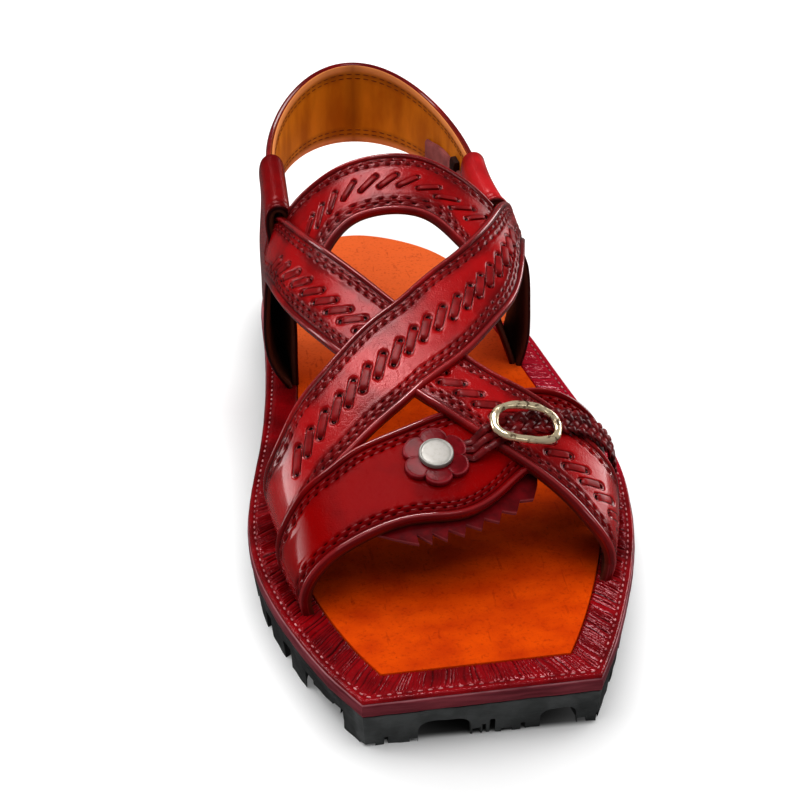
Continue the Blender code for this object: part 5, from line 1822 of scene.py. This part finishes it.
@dataclass(frozen=True)
class Fittings:
    """Buckle, flower and stud."""

    buckle_place: Pair = (0.621, -58.8)
    buckle_lift: float = 9.6
    buckle_size: Pair = (22.5, 15.0)
    wire: float = 2.6
    buckle_bend: float = 46.0
    flower_place: Pair = (0.505, -67.6)
    flower_lift: float = 3.5
    flower_radius: float = 10.4
    flower_notch: float = 2.4
    flower_thickness: float = 1.6
    flower_bend: float = 52.0
    petals: int = 6
    stud_radius: float = 5.2
    stud_height: float = 1.7

    def make(self) -> None:
        """Build the three fittings."""
        self.make_buckle()
        self.make_flower()
        self.make_stud()

    def make_buckle(self) -> None:
        """Wire ring round a squared oval, bent over the strap, its wire a little flattened and uneven."""
        rows, ring = 120, 16
        around = full_turn(rows)[:, None]
        turn = full_turn(ring)[None, :]
        half_x, half_y = ((size - self.wire) / 2.0 for size in self.buckle_size)
        squared = 2.0 / 2.5
        path_x = half_x * np.sign(np.cos(around)) * np.abs(np.cos(around)) ** squared
        path_y = half_y * np.sign(np.sin(around)) * np.abs(np.sin(around)) ** squared
        wire = self.wire / 2.0 * (1.0 + 0.06 * np.sin(5.0 * around) + 0.04 * np.sin(11.0 * around))
        x = path_x + wire * np.cos(around) * np.cos(turn)
        y = path_y + wire * np.sin(around) * np.cos(turn)
        z = 0.75 * wire * np.sin(turn) - x ** 2 / (2.0 * self.buckle_bend)
        points = seat(np.stack([x, y, z], axis=-1), self.buckle_place, self.buckle_lift)
        faces = grid_faces(rows, ring, True, True)
        add_piece("buckle_frame", points, faces, BRASS, "buckle_metal", "buckle")

    def make_flower(self) -> None:
        """Round grid whose bevelled rim swings in between the petals, with a dip between them."""
        turn = full_turn(24 * self.petals)[None, :]
        lobe = np.abs(np.sin(self.petals * turn / 2.0)) ** 0.55
        rim = self.flower_radius - self.flower_notch * (1.0 - lobe)
        ring = np.array([0.05, 0.4, 0.55, 0.7, 0.82, 0.87, 0.91, 0.935, 0.955, 0.975, 0.99, 1.0])[:, None]
        bevel = 0.5 * np.clip((ring - 0.955) / 0.045, 0.0, 1.0) ** 2 - 0.10 * bell(ring, 0.95, 0.016)
        dip = 0.16 * (1.0 - lobe) ** 3 * step_up(ring, 0.5, 0.9)
        x, y = ring * rim * np.cos(turn), ring * rim * np.sin(turn)
        sag = -x ** 2 / (2.0 * self.flower_bend)
        top = np.stack([x, y, sag + self.flower_thickness - bevel - dip], axis=-1)
        under = np.stack([x, y, sag], axis=-1)[::-1]
        local = np.concatenate([top, under])
        faces = sleeve_faces(*local.shape[:2])
        # Painted shade in the dip between the petals, with a thin dark line inside the rim.
        line = 0.35 * bell(ring, 0.855, 0.02)
        painted_shade = np.concatenate([np.maximum(0.4 * dip / 0.16, line) + 0.0 * x, 0.0 * x])
        # Painted highlight: a pale line on the bevel.
        wear_and_highlight = np.concatenate([0.7 * bell(ring, 0.965, 0.016) + 0.0 * x, 0.0 * x])
        points = seat(local, self.flower_place, self.flower_lift)
        add_piece("flower_petals", points, faces, FLOWER_LEATHER, "flower_leather", "flower",
                  {"painted_shade": painted_shade, "wear_and_highlight": wear_and_highlight})

    def make_stud(self) -> None:
        """Turned profile: a rolled rim, a shallow furrow and a low plain dome."""
        radius, height = self.stud_radius, self.stud_height
        profile = np.array([
            (1.00, 0.0), (1.00, 0.62), (0.985, 0.74), (0.955, 0.82), (0.92, 0.84),
            (0.885, 0.82), (0.865, 0.76), (0.845, 0.75), (0.82, 0.77), (0.70, 0.785),
            (0.55, 0.80), (0.38, 0.81), (0.20, 0.815), (0.04, 0.815),
        ])
        ring = 64
        turn = full_turn(ring)[None, :]
        x = profile[:, :1] * radius * np.cos(turn)
        y = profile[:, :1] * radius * np.sin(turn)
        z = profile[:, 1:] * height + 0.0 * turn
        lift = self.flower_lift + self.flower_thickness + 0.1
        points = seat(np.stack([x, y, z], axis=-1), self.flower_place, lift)
        faces = sleeve_faces(len(profile), ring)
        add_piece("stud_dome", points, faces, SILVER, "stud_metal", "stud")


class LightPlace(Enum):
    """Soft lights: place, aim, two sizes, power, and if each adds gloss and body light."""

    KEY = ((-330.0, 310.0, 1140.0), (0.0, -20.0, 40.0), (0.46, 0.42), 5.2, True, False)
    SHEEN = ((-30.0, 105.0, 1140.0), (0.0, -20.0, 40.0), (0.22, 0.20), 4.2, True, False)
    TOP = ((40.0, 60.0, 1380.0), (0.0, -20.0, 0.0), (3.00, 2.40), 40.0, False, True)
    RIGHT = ((850.0, 480.0, 260.0), (0.0, -20.0, 40.0), (0.60, 0.46), 3.4, True, True)
    LEFT = ((-950.0, 260.0, 300.0), (0.0, -20.0, 40.0), (0.25, 0.60), 2.2, True, True)
    FRONT = ((250.0, -1000.0, 900.0), (0.0, -40.0, 20.0), (0.70, 0.12), 1.0, True, False)


@dataclass(frozen=True)
class Studio:
    """Pale floor, soft lights and the camera."""

    eye: Triple = (-91.224, -681.601, 445.799)
    yaw: float = np.radians(7.27)
    pitch: float = np.radians(31.37)
    roll: float = np.radians(-0.24)
    focal: float = 2480.0
    frame: float = 810.0
    sensor: float = 36.0
    floor_half: float = 6.0
    sky_strength: float = 0.11

    def make(self) -> None:
        """Build the floor, the world, the lights and the camera."""
        self.make_floor()
        self.make_lights()
        self.make_camera()

    def make_floor(self) -> None:
        """Wide level sheet just under the tread."""
        half = self.floor_half
        corners = [(-half, -half, 0.0), (half, -half, 0.0), (half, half, 0.0), (-half, half, 0.0)]
        mesh = bpy.data.meshes.new("floor")
        mesh.from_pydata(corners, [], [(0, 1, 2, 3)])
        mesh.materials.append(Floor().material())
        floor = add_object("floor", mesh)
        floor.visible_glossy = False

    def make_lights(self) -> None:
        """White world and soft area lights."""
        world = bpy.data.worlds.new("studio")
        world.use_nodes = True
        sky = world.node_tree.nodes["Background"]
        sky.inputs["Color"].default_value = (1.0, 1.0, 1.0, 1.0)
        sky.inputs["Strength"].default_value = self.sky_strength
        bpy.context.scene.world = world
        for light in LightPlace:
            where, aim, size, power, glossy, diffuse = light.value
            lamp = bpy.data.lights.new(light.name.lower(), "AREA")
            lamp.shape = "RECTANGLE"
            lamp.size, lamp.size_y = size
            lamp.energy = power
            lit = add_object(light.name.lower(), lamp)
            lit.visible_glossy = glossy
            lit.visible_diffuse = diffuse
            start, end = place(np.array(where))[0], place(np.array(aim))[0]
            lit.matrix_world = Matrix.Translation(start) @ self.turned(end - start)

    @staticmethod
    def turned(ahead: Array) -> Matrix:
        """Turn that looks along a direction, upright."""
        back = -unit(ahead)
        right = unit(np.cross([0.0, 0.0, 1.0], back))
        return Matrix(np.column_stack([right, np.cross(back, right), back]).tolist()).to_4x4()

    def make_camera(self) -> None:
        """Camera at the photograph's place, aimed at the sandal."""
        lens = bpy.data.cameras.new("camera")
        lens.sensor_fit = "HORIZONTAL"
        lens.sensor_width = self.sensor
        lens.lens = self.focal / self.frame * self.sensor
        lens.clip_end = 20.0
        camera = add_object("camera", lens)
        ahead = np.array([np.sin(self.yaw) * np.cos(self.pitch), np.cos(self.yaw) * np.cos(self.pitch),
                          -np.sin(self.pitch)])
        camera.matrix_world = (Matrix.Translation(place(np.array(self.eye))[0]) @ self.turned(ahead)
                               @ Matrix.Rotation(self.roll, 4, "Z"))
        bpy.context.scene.camera = camera
        bpy.context.scene.view_settings.view_transform = "Standard"
        bpy.context.scene.view_settings.look = "Medium High Contrast"


EDGE_PLAIN = EdgeWork()
EDGE_ROLLED = EdgeWork(roll=0.75, roll_width=2.1, lines=(3.8, 5.4))
OVER_LACING = Lacing(0.262, 0.70, 0.40, 0.565, 6.5, 7.4, 2.4, 0.0)
UNDER_LACING = Lacing(0.232, 0.93, 0.35, 0.53, 6.6, 5.6, 2.4, 0.0)
ARCH_LACING = Lacing(0.322, 0.645, 0.42, 0.61, 6.2, 6.2, 1.5, 0.3)

STRAPS = (
    Strap("over_strap", OVER_STRAP, OVER_LIFT, EDGE_PLAIN, EDGE_PLAIN, OVER_LACING, 640, 56),
    Strap("under_strap", UNDER_STRAP, UNDER_LIFT, EDGE_ROLLED, EDGE_PLAIN, UNDER_LACING, 680, 56),
    Strap("vamp_strap", VAMP_STRAP, VAMP_LIFT, EDGE_ROLLED, EDGE_ROLLED, None, 480, 14, VAMP_LEATHER),
    Strap("arch_strap", ARCH_STRAP, ARCH_LIFT, EDGE_PLAIN, EDGE_PLAIN, ARCH_LACING, 400, 44),
)
LOOPS = (
    SideLoop("medial_loop", MEDIAL_LOOP, SHADED_LEATHER, 5.0),
    SideLoop("lateral_loop", LATERAL_LOOP, LIT_LOOP_LEATHER),
)


def corners(box: tuple) -> list[list[float]]:
    """A box's two corners as plain lists."""
    return [list(corner) for corner in box]


def main() -> None:
    """Load the frame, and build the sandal's pieces and the studio."""
    logging.basicConfig(level=logging.INFO, format="%(name)s: %(message)s")
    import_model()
    sole = (Outsole(), SoleLayers())
    rest = (HeelStrap(), ToeTrim(), SideStrap(), Fittings(), Studio())
    for part in (*sole, *STRAPS, *LOOPS, *rest):
        part.make()


if __name__ == "__main__":
    main()
